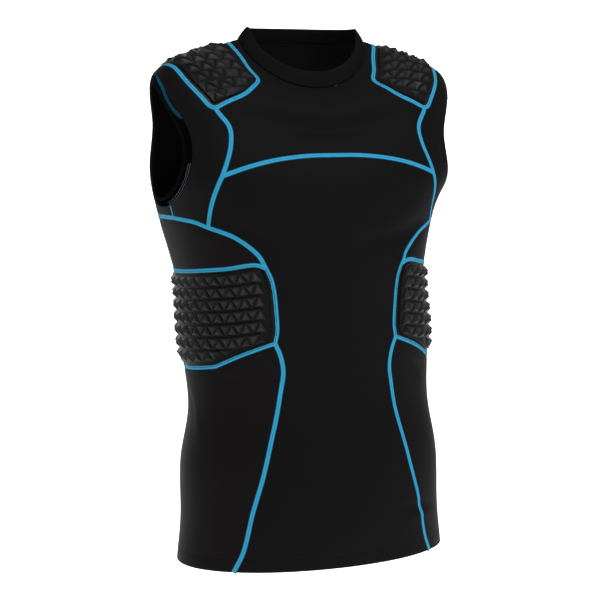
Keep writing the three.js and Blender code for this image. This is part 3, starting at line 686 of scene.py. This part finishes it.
# The faces of a solid as they are gathered, in chart points and lifts from the figure
class Moulding:
    def __init__(self):
        self.charts, self.lifts, self.faces, self.count = [], [], [], 0

    def add(self, points, lift):
        points = np.asarray(points, dtype=float).reshape(-1, 2)
        self.charts.append(points)
        self.lifts.append(np.full(len(points), float(lift)))
        self.count += len(points)
        return np.arange(self.count - len(points), self.count)

    def band(self, low, high):
        following = np.roll(np.arange(len(low)), -1)
        self.faces += np.stack([low, low[following], high[following], high], axis=1).tolist()

    # One row of triangles, standing and hanging in turn, each raised to a point
    def row(self, pad, row):
        gap = mould["rowGap"] * pad.size["rows"] / pad.tallest
        floor = mould["block"] - mould["rowFoot"]
        kept = []
        for column in range(1, pad.columns):
            stands = column % 2 == 1
            low, high = row + 1 - gap, row + gap
            if stands:
                corners = [(column, high), (column - 1, low), (column + 1, low)]
            else:
                corners = [(column, low), (column + 1, high), (column - 1, high)]
            columns, rows = np.array(corners, dtype=float).T
            chart, _ = pad.place(columns, rows)
            _, cut = pad.place(column, row + (2 / 3 if stands else 1 / 3))
            full = min(1.0, -float(cut) * 2 * pad.size["rows"] / pad.tallest)
            sides = np.linalg.norm(bodyPoint(chart) - bodyPoint(np.roll(chart, 1, axis=0)), axis=1)
            if full > mould["leastFull"] and sides.min() > mould["shortest"]:
                kept.append((corners, chart, full))
        ids, bases = {}, {}
        for corners, chart, _ in kept:
            for corner, point in zip(corners, chart):
                if corner not in ids:
                    ids[corner] = int(self.add(point, mould["block"] + mould["rowBase"])[0])
                    bases[corner] = int(self.add(point, floor)[0])
        edges = {}
        for corners, chart, full in kept:
            peak = chart.mean(axis=0)
            outline = [ids[corner] for corner in corners]
            tip = self.add(peak + (chart - peak) * mould["tip"], mould["block"] + mould["pyramid"] * full)
            for k in range(3):
                a, b = corners[k], corners[(k + 1) % 3]
                self.faces.append([outline[k], outline[(k + 1) % 3], int(tip[(k + 1) % 3]), int(tip[k])])
                if (b, a) in edges:
                    del edges[(b, a)]
                else:
                    edges[(a, b)] = True
            self.faces.append([int(i) for i in tip])
            self.faces.append([bases[corner] for corner in reversed(corners)])
        for a, b in edges:
            self.faces.append([ids[b], ids[a], bases[a], bases[b]])


def padObject(name, which, pad, material):
    moulding, size, block = Moulding(), pad.size, mould["block"]
    reach = min(size["sideMargin"], size["endMargin"])

    def loop(inset, lift, square=False):
        sideInset = size["sideMargin"] + inset
        endInset = size["endMargin"] + inset
        radius = mould["corner"] + max(-inset, -mould["corner"] * mould["leastCorner"])
        return moulding.add(pad.ring(sideInset, endInset, radius, square), lift)

    # From a loop to the pad's middle, the same on the block and on the pad's inside
    def fill(sideStart, endStart, lift, radius):
        loops = []
        for part in np.linspace(0, 1, mould["fillLoops"])[1:]:
            shrunk = 1 - part * mould["fillReach"]
            sideInset = pad.width / 2 - (pad.width / 2 - sideStart) * shrunk
            endInset = pad.heights.min() / 2 - (pad.heights.min() / 2 - endStart) * shrunk
            loops.append(moulding.add(pad.ring(sideInset, endInset, radius * shrunk), lift))
        return loops

    slope, foot, rim, rimLift = mould["wallSlope"], mould["footGroove"], mould["rimWidth"], mould["rimLift"]
    seamCorner = mould["corner"] + reach
    border = moulding.add(pad.ring(0, 0, seamCorner, True), 0)
    inset = rim + mould["rimInside"]
    # From the margin inwards: inset from the block's edge, and lift. The rim is lower on both sides.
    profile = [(-foot - slope - mould["grooveLead"], 0.0),
               (-foot * mould["grooveShare"] - slope, -mould["grooveDepth"]),
               (-slope, -mould["footDepth"]),
               (0, block + rimLift * 0.5),
               (rim * 0.45, block + rimLift),
               (rim, block + rimLift * 0.4),
               (inset, block - mould["innerDrop"])]
    outside = [border] + [loop(*step) for step in profile]
    outside += fill(size["sideMargin"] + inset, size["endMargin"] + inset, block - mould["floorDrop"],
                    mould["corner"] * mould["innerCorner"])
    inner = moulding.add(pad.ring(0, 0, seamCorner, True), -mould["wall"])
    inside = [inner, loop(-slope, -mould["wall"])]
    inside += fill(size["sideMargin"], size["endMargin"], -mould["wall"], mould["corner"])
    for low, high in zip(outside, outside[1:]):
        moulding.band(low, high)
    for low, high in zip(inside, inside[1:]):
        moulding.band(high, low)
    moulding.band(inner, border)
    moulding.faces.append([int(i) for i in outside[-1]])
    moulding.faces.append([int(i) for i in inside[-1][::-1]])
    for row in range(size["rows"]):
        moulding.row(pad, row)
    chart = np.vstack(moulding.charts) * [which, 1]
    normal = bodyNormal(chart)
    points = bodyPoint(chart) + normal * np.concatenate(moulding.lifts)[:, None]
    faces = moulding.faces if which > 0 else [f[::-1] for f in moulding.faces]
    obj = makeObject(name, points, faces, material, weaveCoordinates(chart))
    raised = obj.data.attributes.new("lift", "FLOAT", "POINT")
    raised.data.foreach_set("value", np.concatenate(moulding.lifts).astype(np.float32))
    return rounded(obj, mould["round"], mould["roundAngle"])


# Points, directions, normals and across vectors at even steps of a run
def frameAlong(run, step, which=1, closed=False, lift=0.0):
    run = np.asarray(run, dtype=float)
    chart = even(run, max(2, round(lengthsAlong(run)[-1] / step)))
    if closed:
        chart = chart[:-1]
        for _ in range(flatlock["smoothings"]):
            chart = (np.roll(chart, 1, 0) + 2 * chart + np.roll(chart, -1, 0)) / 4
    chart = chart * [which, 1]
    points, normal = clothPoint(chart), bodyNormal(chart)
    if closed:
        along = unit(np.roll(points, -1, 0) - np.roll(points, 1, 0))
    else:
        along = unit(np.gradient(points, axis=0))
    return points + normal * lift, along, normal, unit(np.cross(normal, along))


# Across a seam band from edge to edge, and the height there as a share of the band's height
bandProfile = [(-1.0, -0.2), (-0.9, 0.3), (-0.66, 0.66), (-0.4, 1.0), (-0.18, 0.88), (0.0, 0.6),
               (0.18, 0.88), (0.4, 1.0), (0.66, 0.66), (0.9, 0.3), (1.0, -0.2)]


# Double bands over the seams, closed all round, with one outside the cloth and one inside it
def bandMesh(name, runs, material):
    vertices, faces, coordinates = [], [], []
    count = 0
    for points, normal, across, closed, width in runs:
        along = np.concatenate([[0], np.cumsum(np.linalg.norm(np.diff(points, axis=0), axis=1))])
        for inner in (False, True):
            rows = []
            for s, height in bandProfile:
                if inner:
                    depth = max(height, flatlock["lowestEdge"]) * flatlock["height"]
                    rise = -cloth["thickness"] - depth * flatlock["innerShare"]
                else:
                    rise = height * flatlock["height"] + flatlock["clear"]
                rows.append(points + across * (s * width / 2) + normal * rise)
            ring = np.stack(rows, axis=1)
            n, m = ring.shape[:2]
            shares = [(s + 1) / 2 for s, _ in bandProfile]
            coordinates.append(np.stack(np.meshgrid(shares, along * 1e-3), axis=-1).reshape(-1, 2))
            vertices.append(ring.reshape(-1, 3))
            k = np.arange(n if closed else n - 1)[:, None]
            j = np.arange(m)[None]
            k2, j2 = (k + 1) % n, (j + 1) % m
            quads = np.stack([k * m + j, k2 * m + j, k2 * m + j2, k * m + j2], axis=-1).reshape(-1, 4) + count
            ends = [] if closed else [list(range(m)), list(range(n * m - m, n * m))[::-1]]
            ends = [[count + i for i in end] for end in ends]
            if inner:
                quads = quads[:, ::-1]
                ends = [end[::-1] for end in ends]
            faces += quads.tolist() + ends
            count += n * m
    return makeObject(name, np.vstack(vertices), faces, material, np.vstack(coordinates))


# One stitch: a short arched thread along X, with its top towards Z
def stitchMesh(name, length, radius, arch, material):
    sides, spans, thinEnd = 4, 4, 0.55
    vertices, faces = [], []
    for i in range(spans + 1):
        t = i / spans
        thin = radius * (thinEnd if i in (0, spans) else 1.0)
        for k in range(sides):
            a = 2 * math.pi * (k + 0.5) / sides
            lift = arch * math.sin(math.pi * t) + thin * math.sin(a)
            vertices.append(((t - 0.5) * length, thin * math.cos(a), lift))
    for i in range(spans):
        for k in range(sides):
            k2 = (k + 1) % sides
            low, high = i * sides, (i + 1) * sides
            faces.append([low + k, high + k, high + k2, low + k2])
    faces.append(list(range(sides)))
    faces.append([spans * sides + k for k in range(sides)][::-1])
    return makeObject(name, vertices, faces, material)


# Geometry Nodes: a stitch on each point, turned by the point's own directions
def stitchNodes(name, material, unevenness, seed):
    tree = bpy.data.node_groups.new(name, "GeometryNodeTree")
    face = tree.interface
    face.new_socket("Points", in_out="INPUT", socket_type="NodeSocketGeometry")
    face.new_socket("Stitch", in_out="INPUT", socket_type="NodeSocketObject")
    face.new_socket("Smallest", in_out="INPUT", socket_type="NodeSocketFloat").default_value = 1 - unevenness
    face.new_socket("Largest", in_out="INPUT", socket_type="NodeSocketFloat").default_value = 1 + unevenness
    face.new_socket("Seed", in_out="INPUT", socket_type="NodeSocketInt").default_value = seed
    face.new_socket("Geometry", in_out="OUTPUT", socket_type="NodeSocketGeometry")

    def node(kind, **settings):
        made = tree.nodes.new(kind)
        for key, value in settings.items():
            setattr(made, key, value)
        return made

    start, end = node("NodeGroupInput"), node("NodeGroupOutput")
    info = node("GeometryNodeObjectInfo")
    along = node("GeometryNodeInputNamedAttribute", data_type="FLOAT_VECTOR")
    up = node("GeometryNodeInputNamedAttribute", data_type="FLOAT_VECTOR")
    along.inputs["Name"].default_value = "along"
    up.inputs["Name"].default_value = "up"
    turn = node("FunctionNodeAxesToRotation", primary_axis="X", secondary_axis="Z")
    scale = node("FunctionNodeRandomValue", data_type="FLOAT")
    place = node("GeometryNodeInstanceOnPoints")
    real = node("GeometryNodeRealizeInstances")
    paint = node("GeometryNodeSetMaterial")
    paint.inputs["Material"].default_value = material
    low, high = [s for s in scale.inputs if s.type == "VALUE" and s.enabled][:2]
    for source, target in (
            (start.outputs["Stitch"], info.inputs["Object"]),
            (along.outputs["Attribute"], turn.inputs["Primary Axis"]),
            (up.outputs["Attribute"], turn.inputs["Secondary Axis"]),
            (start.outputs["Smallest"], low),
            (start.outputs["Largest"], high),
            (start.outputs["Seed"], scale.inputs["Seed"]),
            (start.outputs["Points"], place.inputs["Points"]),
            (info.outputs["Geometry"], place.inputs["Instance"]),
            (turn.outputs["Rotation"], place.inputs["Rotation"]),
            ([s for s in scale.outputs if s.enabled][0], place.inputs["Scale"]),
            (place.outputs["Instances"], real.inputs["Geometry"]),
            (real.outputs["Geometry"], paint.inputs["Geometry"]),
            (paint.outputs["Geometry"], end.inputs["Geometry"])):
        tree.links.new(source, target)
    return tree


# Stitches at rows of points, directions and normals
def sewn(name, rows, stitch, material, seed):
    points = np.vstack([row[0] for row in rows])
    thread = stitchMesh(name + "_thread", stitch["length"], stitch["radius"], stitch["arch"], material)
    guide = makeObject(name, points, [], material)
    for attribute, k in (("along", 1), ("up", 2)):
        values = guide.data.attributes.new(attribute, "FLOAT_VECTOR", "POINT")
        values.data.foreach_set("vector", np.vstack([row[k] for row in rows]).astype(np.float32).ravel())
    tree = stitchNodes(name + "_nodes", material, stitch["unevenness"], seed)
    modifier = guide.modifiers.new("stitches", "NODES")
    modifier.node_group = tree
    socket = next(item for item in tree.interface.items_tree if item.name == "Stitch")
    modifier[socket.identifier] = thread
    bpy.context.view_layer.update()
    applied(guide)
    bpy.data.objects.remove(thread)
    guide.data.polygons.foreach_set("use_smooth", [True] * len(guide.data.polygons))
    return guide


# Threads that cross a seam band from side to side
def zigzag(run, which, closed, lift, width):
    points, along, normal, across = frameAlong(run, flatlock["stitchPitch"], which, closed, lift)
    sign = np.where(np.arange(len(points)) % 2 == 0, 1.0, -1.0)[:, None]
    slant = unit(across * sign * width * flatlock["stitchReach"] + along * flatlock["stitchPitch"])
    return points + normal * flatlock["height"] * flatlock["stitchLift"], slant, normal


# Straight rows of stitches beside a run
def straightRows(run, pitch, which=1, offsets=(0.0,), lift=0.05):
    rows = []
    for offset in offsets:
        moved = beside(run, offset) if offset else run
        points, along, normal, _ = frameAlong(moved, pitch, which)
        rows.append((points + normal * lift, along, normal))
    return rows


# A shader value with arithmetic, so that node maths reads as maths
class Wire:
    def __init__(self, tree, socket):
        self.tree, self.socket = tree, socket

    def math(self, operation, *values):
        node = self.tree.nodes.new("ShaderNodeMath")
        node.operation = operation
        for k, value in enumerate(values):
            if isinstance(value, Wire):
                self.tree.links.new(value.socket, node.inputs[k])
            else:
                node.inputs[k].default_value = value
        return Wire(self.tree, node.outputs[0])

    def __add__(self, other):
        return self.math("ADD", self, other)

    def __radd__(self, other):
        return self.math("ADD", other, self)

    def __sub__(self, other):
        return self.math("SUBTRACT", self, other)

    def __rsub__(self, other):
        return self.math("SUBTRACT", other, self)

    def __mul__(self, other):
        return self.math("MULTIPLY", self, other)

    def __rmul__(self, other):
        return self.math("MULTIPLY", other, self)

    def sine(self):
        return self.math("SINE", self)

    def absolute(self):
        return self.math("ABSOLUTE", self)

    # 0 below low and 1 above high, smooth between
    def ramp(self, low, high):
        node = self.tree.nodes.new("ShaderNodeMapRange")
        node.interpolation_type = "SMOOTHSTEP"
        self.tree.links.new(self.socket, node.inputs["Value"])
        node.inputs["From Min"].default_value = low
        node.inputs["From Max"].default_value = high
        return Wire(self.tree, node.outputs["Result"])


# A Principled material built up in steps
class Finish:
    def __init__(self, name, colour, roughness, **constants):
        self.material = bpy.data.materials.new(name)
        self.material.use_nodes = True
        self.tree = self.material.node_tree
        self.shader = self.tree.nodes["Principled BSDF"]
        self.shader.inputs["Base Color"].default_value = (*colour, 1)
        self.shader.inputs["Roughness"].default_value = roughness
        for key, value in constants.items():
            self.shader.inputs[key.replace("_", " ")].default_value = value

    def node(self, kind, settings=None, **sockets):
        node = self.tree.nodes.new(kind)
        for key, value in (settings or {}).items():
            setattr(node, key, value)
        for key, value in sockets.items():
            target = node.inputs[key.replace("_", " ")]
            if isinstance(value, Wire):
                self.tree.links.new(value.socket, target)
            else:
                target.default_value = value
        return node

    def coordinates(self, kind):
        return Wire(self.tree, self.node("ShaderNodeTexCoord").outputs[kind])

    def uv(self):
        split = self.node("ShaderNodeSeparateXYZ", Vector=self.coordinates("UV"))
        return Wire(self.tree, split.outputs["X"]), Wire(self.tree, split.outputs["Y"])

    def noise(self, scale, detail=3.0, roughness=0.5):
        node = self.node("ShaderNodeTexNoise", Vector=self.coordinates("Object"), Scale=scale, Detail=detail,
                         Roughness=roughness)
        return Wire(self.tree, node.outputs["Fac"])

    def mixed(self, factor, low, high):
        node = self.node("ShaderNodeMix", {"data_type": "RGBA"})
        colourSockets = [s for s in node.inputs if s.type == "RGBA"]
        self.tree.links.new(factor.socket, node.inputs[0])
        for socket, colour in zip(colourSockets, (low, high)):
            if isinstance(colour, Wire):
                self.tree.links.new(colour.socket, socket)
            else:
                socket.default_value = (*colour, 1)
        return Wire(self.tree, [s for s in node.outputs if s.type == "RGBA"][0])

    def colour(self, wire):
        self.tree.links.new(wire.socket, self.shader.inputs["Base Color"])

    def roughness(self, wire):
        self.tree.links.new(wire.socket, self.shader.inputs["Roughness"])

    def bump(self, height, distance, strength):
        node = self.node("ShaderNodeBump", Strength=strength, Distance=distance, Height=height)
        self.tree.links.new(node.outputs["Normal"], self.shader.inputs["Normal"])


def scaled(colour, factor):
    return tuple(min(1.0, c * factor) for c in colour)


# Smooth stretch knit: fine upright wales crossed by courses, with a soft bloom
knitLook = {"specular": 0.05, "sheenRoughness": 0.4, "bumpDistance": 0.00005, "bumpStrength": 0.5,
            "darkest": 0.72, "lightest": 1.3}


def knit(name, colour, roughness, pitch, sheen, depth):
    finish = Finish(name, colour, roughness, Sheen_Weight=sheen, Sheen_Roughness=knitLook["sheenRoughness"],
                    Specular_IOR_Level=knitLook["specular"])
    u, v = finish.uv()
    wales = (u * (2 * math.pi / pitch)).sine()
    courses = (v * (2 * math.pi / (pitch * 0.8)) + wales.absolute() * 1.6).sine()
    stitches = (wales * 0.5 + 0.5) * (courses * 0.35 + 0.65)
    cloudy = finish.noise(14.0, 4.0, 0.6)
    fine = finish.noise(900.0, 2.0, 0.5)
    blend = stitches * 0.4 + cloudy * 0.5 + fine * 0.1
    darkest, lightest = scaled(colour, knitLook["darkest"]), scaled(colour, knitLook["lightest"])
    finish.colour(finish.mixed(blend, darkest, lightest))
    finish.roughness(cloudy * 0.12 + (roughness - 0.06))
    finish.bump(stitches + fine * 0.25, knitLook["bumpDistance"] * depth, knitLook["bumpStrength"])
    return finish.material


# Satin skin of the moulded foam, with a fine grain: a painted highlight on its points and painted shade in
# its grooves
foamPaintedLight = {"groove": 0.2, "point": 4.6, "marginShade": 0.2}


def foam(name, colour, roughness):
    finish = Finish(name, colour, roughness, Specular_IOR_Level=0.13)
    grain = finish.noise(2200.0, 2.0, 0.6)
    cloudy = finish.noise(22.0, 3.0, 0.5)
    attribute = finish.node("ShaderNodeAttribute", {"attribute_name": "lift"})
    lift = Wire(finish.tree, attribute.outputs["Fac"])
    # Painted light: the colour darkens towards the block's floor and the feet of the pyramids as painted
    # shade, and brightens towards their points as a painted highlight; the plain margin is lifted a little
    # out of that painted shade
    margin = 1 - lift.ramp(0.3, mould["block"] * 0.7)
    high = lift.ramp(mould["block"], mould["block"] + mould["pyramid"])
    shade = high + margin * foamPaintedLight["marginShade"] + (cloudy + grain - 1) * 0.15
    finish.colour(finish.mixed(shade, scaled(colour, foamPaintedLight["groove"]), scaled(colour, foamPaintedLight["point"])))
    finish.roughness(cloudy * 0.14 + grain * 0.08 + (roughness - 0.1))
    finish.bump(grain, 0.00005, 0.5)
    return finish.material


# Twisted polyester thread
def thread(name, colour, roughness=0.6, twist=5200.0):
    finish = Finish(name, colour, roughness, Specular_IOR_Level=0.1)
    fine = finish.noise(twist, 2.0, 0.5)
    cloudy = finish.noise(60.0, 2.0, 0.5)
    finish.colour(finish.mixed(fine * 0.6 + cloudy * 0.4, scaled(colour, 0.75), scaled(colour, 1.2)))
    finish.bump(fine, 0.00008, 0.6)
    return finish.material


# The seam bands: two light ridges of thread with a darker line between them, and painted shade along both
# edges where the band meets the cloth
bandLook = {"light": (0.026, 0.29, 0.48), "dark": (0.002, 0.035, 0.085), "edgeShadeFrom": 0.52, "edgeTo": 0.9,
            "middle": 0.24, "middleShade": 0.38, "threadPitch": 0.0011, "threadShade": 0.22}


def bandMaterial(name):
    finish = Finish(name, bandLook["light"], 0.6, Specular_IOR_Level=0.08)
    u, v = finish.uv()
    fromMiddle = (u * 2 - 1).absolute()
    # Painted shade along both edges of the band, where it meets the cloth
    edge = fromMiddle.ramp(bandLook["edgeShadeFrom"], bandLook["edgeTo"])
    middle = 1 - fromMiddle.ramp(0.0, bandLook["middle"])
    slant = fromMiddle * 2.2
    threads = (v * (2 * math.pi / bandLook["threadPitch"]) + slant).sine() * 0.5 + 0.5
    cloudy = finish.noise(160.0, 3.0, 0.6)
    dark = edge * 0.9 + middle * bandLook["middleShade"] + threads * bandLook["threadShade"] * (1 - edge)
    shade = dark + (cloudy - 0.5) * 0.25
    finish.colour(finish.mixed(shade.ramp(0.0, 1.0), bandLook["light"], bandLook["dark"]))
    finish.bump(threads + cloudy * 0.4, 0.00016, 0.7)
    return finish.material


colours = {"body": (0.0036, 0.0036, 0.0039), "side": (0.0044, 0.0036, 0.0038),
           "pad": (0.0036, 0.0036, 0.0038), "collar": (0.0030, 0.0030, 0.0032),
           "inside": (0.0060, 0.0060, 0.0065),
           "bandThread": (0.030, 0.31, 0.50), "darkThread": (0.0085, 0.0085, 0.0092),
           "paleThreadAndHighlight": (0.16, 0.21, 0.25)}
knits = [
    # name, colour, roughness, metres between wales, sheen, depth of the relief
    ("body_knit", "body", 0.7, 0.0011, 0.006, 1.0),
    ("back_knit", "inside", 0.72, 0.0015, 0.006, 3.0),
    ("side_knit", "side", 0.62, 0.0011, 0.008, 1.0),
    ("collar_rib", "collar", 0.75, 0.0020, 0.006, 1.0)]
bodyKnit, backKnit, sideKnit, collarRib = [knit(name, colours[tint], *look) for name, tint, *look in knits]
padFoam = foam("pad_foam", colours["pad"], 0.46)
bandBlue = bandMaterial("flatlock_band")
threadBlue = thread("flatlock_thread", colours["bandThread"])
threadDark = thread("dark_thread", colours["darkThread"])
threadPaleAndHighlight = thread("pale_thread", colours["paleThreadAndHighlight"])
print("materials ready", flush=True)


def place(piece, nodes, slot):
    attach(piece, "root")
    if nodes:
        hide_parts(*nodes)
    return piece


# The cut of each cloth piece: width and length of the flat cloth and its area, in metres. It is the
# size measured on the worn piece, less a twelfth of its width, which is assumed for the stretch.
flatCuts = {
    "front_panel": (0.286, 0.508, 0.0924), "yoke_panel": (0.241, 0.210, 0.0263),
    "back_panel": (0.451, 0.688, 0.1502), "collar_knit": (0.420, 0.0196, 0.0082),
    "armhole_cloth": (0.1145, 0.192, 0.0086), "underarm_cloth": (0.280, 0.068, 0.0125),
    "side_cloth": (0.278, 0.273, 0.0566),
}
hands = {"right": -1, "left": 1}
panels = {
    "front_panel": place(frontPanel().build("front_panel", bodyKnit), ["front_body"], "body_cloth"),
    "yoke_panel": place(yokePanel().build("yoke_panel", bodyKnit), ["front_yoke"], "body_cloth"),
    "back_panel": place(backPanel().build("back_panel", backKnit), ["back_body"], "body_cloth"),
    "collar_knit": place(collarBand(collarRib), ["collar"], "collar_rib"),
}
print("front, yoke, back and collar built", flush=True)
ribs = Pad(ribPad, padBottom, padTop, padFront, toBack(padFront))
shoulders = Pad(shoulderPad, padFoot[::-1], backFoot[::-1], joined(padInner, backInner[::-1]),
                joined(padOuter, backOuter[::-1]))
for hand, which in hands.items():
    for kind, build, node, material, slot in (
            ("armhole_cloth", armholePanel, "armhole_panel", bodyKnit, "body_cloth"),
            ("underarm_cloth", upperSide, "side_upper", sideKnit, "side_cloth"),
            ("side_cloth", lowerSide, "side_lower", sideKnit, "side_cloth")):
        name = f"{kind}_{hand}"
        panels[name] = place(build(which).build(name, material), [f"{node}_{hand}"], slot)
    for kind, pad in (("rib", ribs), ("shoulder", shoulders)):
        moulded = padObject(f"{kind}_pyramids_{hand}", which, pad, padFoam)
        place(moulded, [f"{kind}_pad_{hand}"], "pad_foam")
print("sides, armholes and pads built", flush=True)

zigzagStitch = {"length": math.hypot(flatlock["width"] * flatlock["stitchReach"], flatlock["stitchPitch"]),
                "radius": 0.17, "arch": 0.2, "unevenness": 0.08}
coverStitch = {"pitch": 2.9, "length": 2.3, "radius": 0.17, "arch": 0.12, "unevenness": 0.06,
               "hemRows": (-1.6, 1.6), "armholeRows": (-1.2, 1.2), "neckRows": (2.5, 5.5),
               "edgeRows": (-0.9, -3.4)}
for hand, which in hands.items():
    bands, threads = [], []
    runs = [(kind, run, which) for kind, run in flatlockRuns.items()]
    if which > 0:
        runs.append(("arc", arc, 1))
    for k, (kind, run, mirror) in enumerate(runs):
        closed = kind == "shoulder"
        width = flatlock["underarmWidth"] if kind == "underarm" else flatlock["width"]
        lift = flatlock["stackStep"] * (k % 3)
        points, _, normal, across = frameAlong(run, flatlock["step"], mirror, closed, lift)
        bands.append((points, normal, across * -1, closed, width))
        threads.append(zigzag(run, mirror, closed, lift, width))
    place(bandMesh(f"flatlock_{hand}", bands, bandBlue), [], "body_cloth")
    place(sewn(f"flatlock_stitches_{hand}", threads, zigzagStitch, threadBlue, 11 + which), [], "body_cloth")
    rows = straightRows(armholeStitch, coverStitch["pitch"], which, coverStitch["armholeRows"])
    place(sewn(f"armhole_stitches_{hand}", rows, coverStitch, threadDark, 21 + which), [], "body_cloth")
    # Pale thread on the lower front of the armhole edge, only where the edge catches the light: partly the
    # cover stitch's thread and partly a painted highlight on the fold's edge
    lowFront = armholeRun(-75, -15, 40)
    rows = straightRows(lowFront, coverStitch["pitch"], which, coverStitch["edgeRows"])
    place(sewn(f"armhole_edge_thread_{hand}", rows, coverStitch, threadPaleAndHighlight, 31 + which), [], "body_cloth")
hemRows = straightRows(hemStitch, coverStitch["pitch"], 1, coverStitch["hemRows"])
place(sewn("hem_stitches", hemRows, coverStitch, threadDark, 41), [], "body_cloth")
neckRows = straightRows(neckRing, coverStitch["pitch"], 1, [-row for row in coverStitch["neckRows"]])
place(sewn("neck_stitches", neckRows, coverStitch, threadDark, 51), [], "body_cloth")
print("seams and stitches sewn", flush=True)

for name, panel in panels.items():
    width, length, area = flatCuts[name.replace("_right", "").replace("_left", "")]

camera = {"azimuth": -21.4, "elevation": 4.7, "distance": 1.914, "target": (-0.0067, 0.0, -0.3193),
          "roll": -1.02, "lens": 92.31}
backdrop = {"half": 4.0, "depth": 3.2, "rise": 3.0, "front": -3.5, "drop": 0.55, "radius": 1.2, "steps": 12,
            "glow": 1.0}
# Each light's name, azimuth and elevation in degrees, distance and size in metres, and watts
lights = [("key", 8, 52, 2.2, (0.9, 0.8), 32), ("fill", 25, 15, 2.6, (1.2, 1.6), 8),
          ("side", -95, 25, 2.4, (0.8, 1.4), 4)]


def studio():
    floor, depth, radius = cadBox[0][2] - backdrop["drop"], backdrop["depth"], backdrop["radius"]
    turns = np.linspace(0, math.pi / 2, backdrop["steps"])[1:]
    profile = [(backdrop["front"], floor), (depth - radius, floor)]
    profile += [(depth - radius + radius * math.sin(t), floor + radius - radius * math.cos(t)) for t in turns]
    profile.append((depth, floor + backdrop["rise"]))
    half = backdrop["half"]
    vertices = [(x * 1e3, y * 1e3, z * 1e3) for y, z in profile for x in (-half, half)]
    faces = [[2 * i, 2 * i + 1, 2 * i + 3, 2 * i + 2] for i in range(len(profile) - 1)]
    paper = Finish("paper", (0.9, 0.9, 0.9), 0.9, Emission_Color=(1, 1, 1, 1),
                   Emission_Strength=backdrop["glow"])
    makeObject("studio_floor", vertices, faces, paper.material)


def backwards(azimuth, elevation):
    a, e = math.radians(azimuth), math.radians(elevation)
    return Vector((math.sin(a) * math.cos(e), -math.cos(a) * math.cos(e), math.sin(e)))


def areaLight(name, azimuth, elevation, distance, size, power):
    data = bpy.data.lights.new(name, "AREA")
    data.shape = "RECTANGLE"
    data.size, data.size_y = size
    data.energy = power
    obj = bpy.data.objects.new(name, data)
    back = backwards(azimuth, elevation)
    obj.location = Vector(camera["target"]) + back * distance
    obj.rotation_euler = back.to_track_quat("Z", "Y").to_euler()
    bpy.context.scene.collection.objects.link(obj)


def setCamera():
    data = bpy.data.cameras.new("camera")
    data.lens, data.sensor_width = camera["lens"], 36.0
    data.clip_start, data.clip_end = 0.05, 50.0
    obj = bpy.data.objects.new("camera", data)
    roll = math.radians(camera["roll"])
    back = backwards(camera["azimuth"], camera["elevation"])
    right = Vector((math.cos(math.radians(camera["azimuth"])), math.sin(math.radians(camera["azimuth"])), 0))
    up = back.cross(right)
    turned = (right * math.cos(roll) + up * math.sin(roll),
              up * math.cos(roll) - right * math.sin(roll), back)
    obj.matrix_world = (Matrix.Translation(Vector(camera["target"]) + back * camera["distance"])
                        @ Matrix(turned).transposed().to_4x4())
    bpy.context.scene.collection.objects.link(obj)
    bpy.context.scene.camera = obj


worldStrength = 0.4
world = bpy.data.worlds.new("world")
world.use_nodes = True
world.node_tree.nodes["Background"].inputs["Color"].default_value = (1, 1, 1, 1)
world.node_tree.nodes["Background"].inputs["Strength"].default_value = worldStrength
bpy.context.scene.world = world
bpy.context.scene.view_settings.view_transform = "Standard"
studio()
setCamera()
for light in lights:
    areaLight(*light)
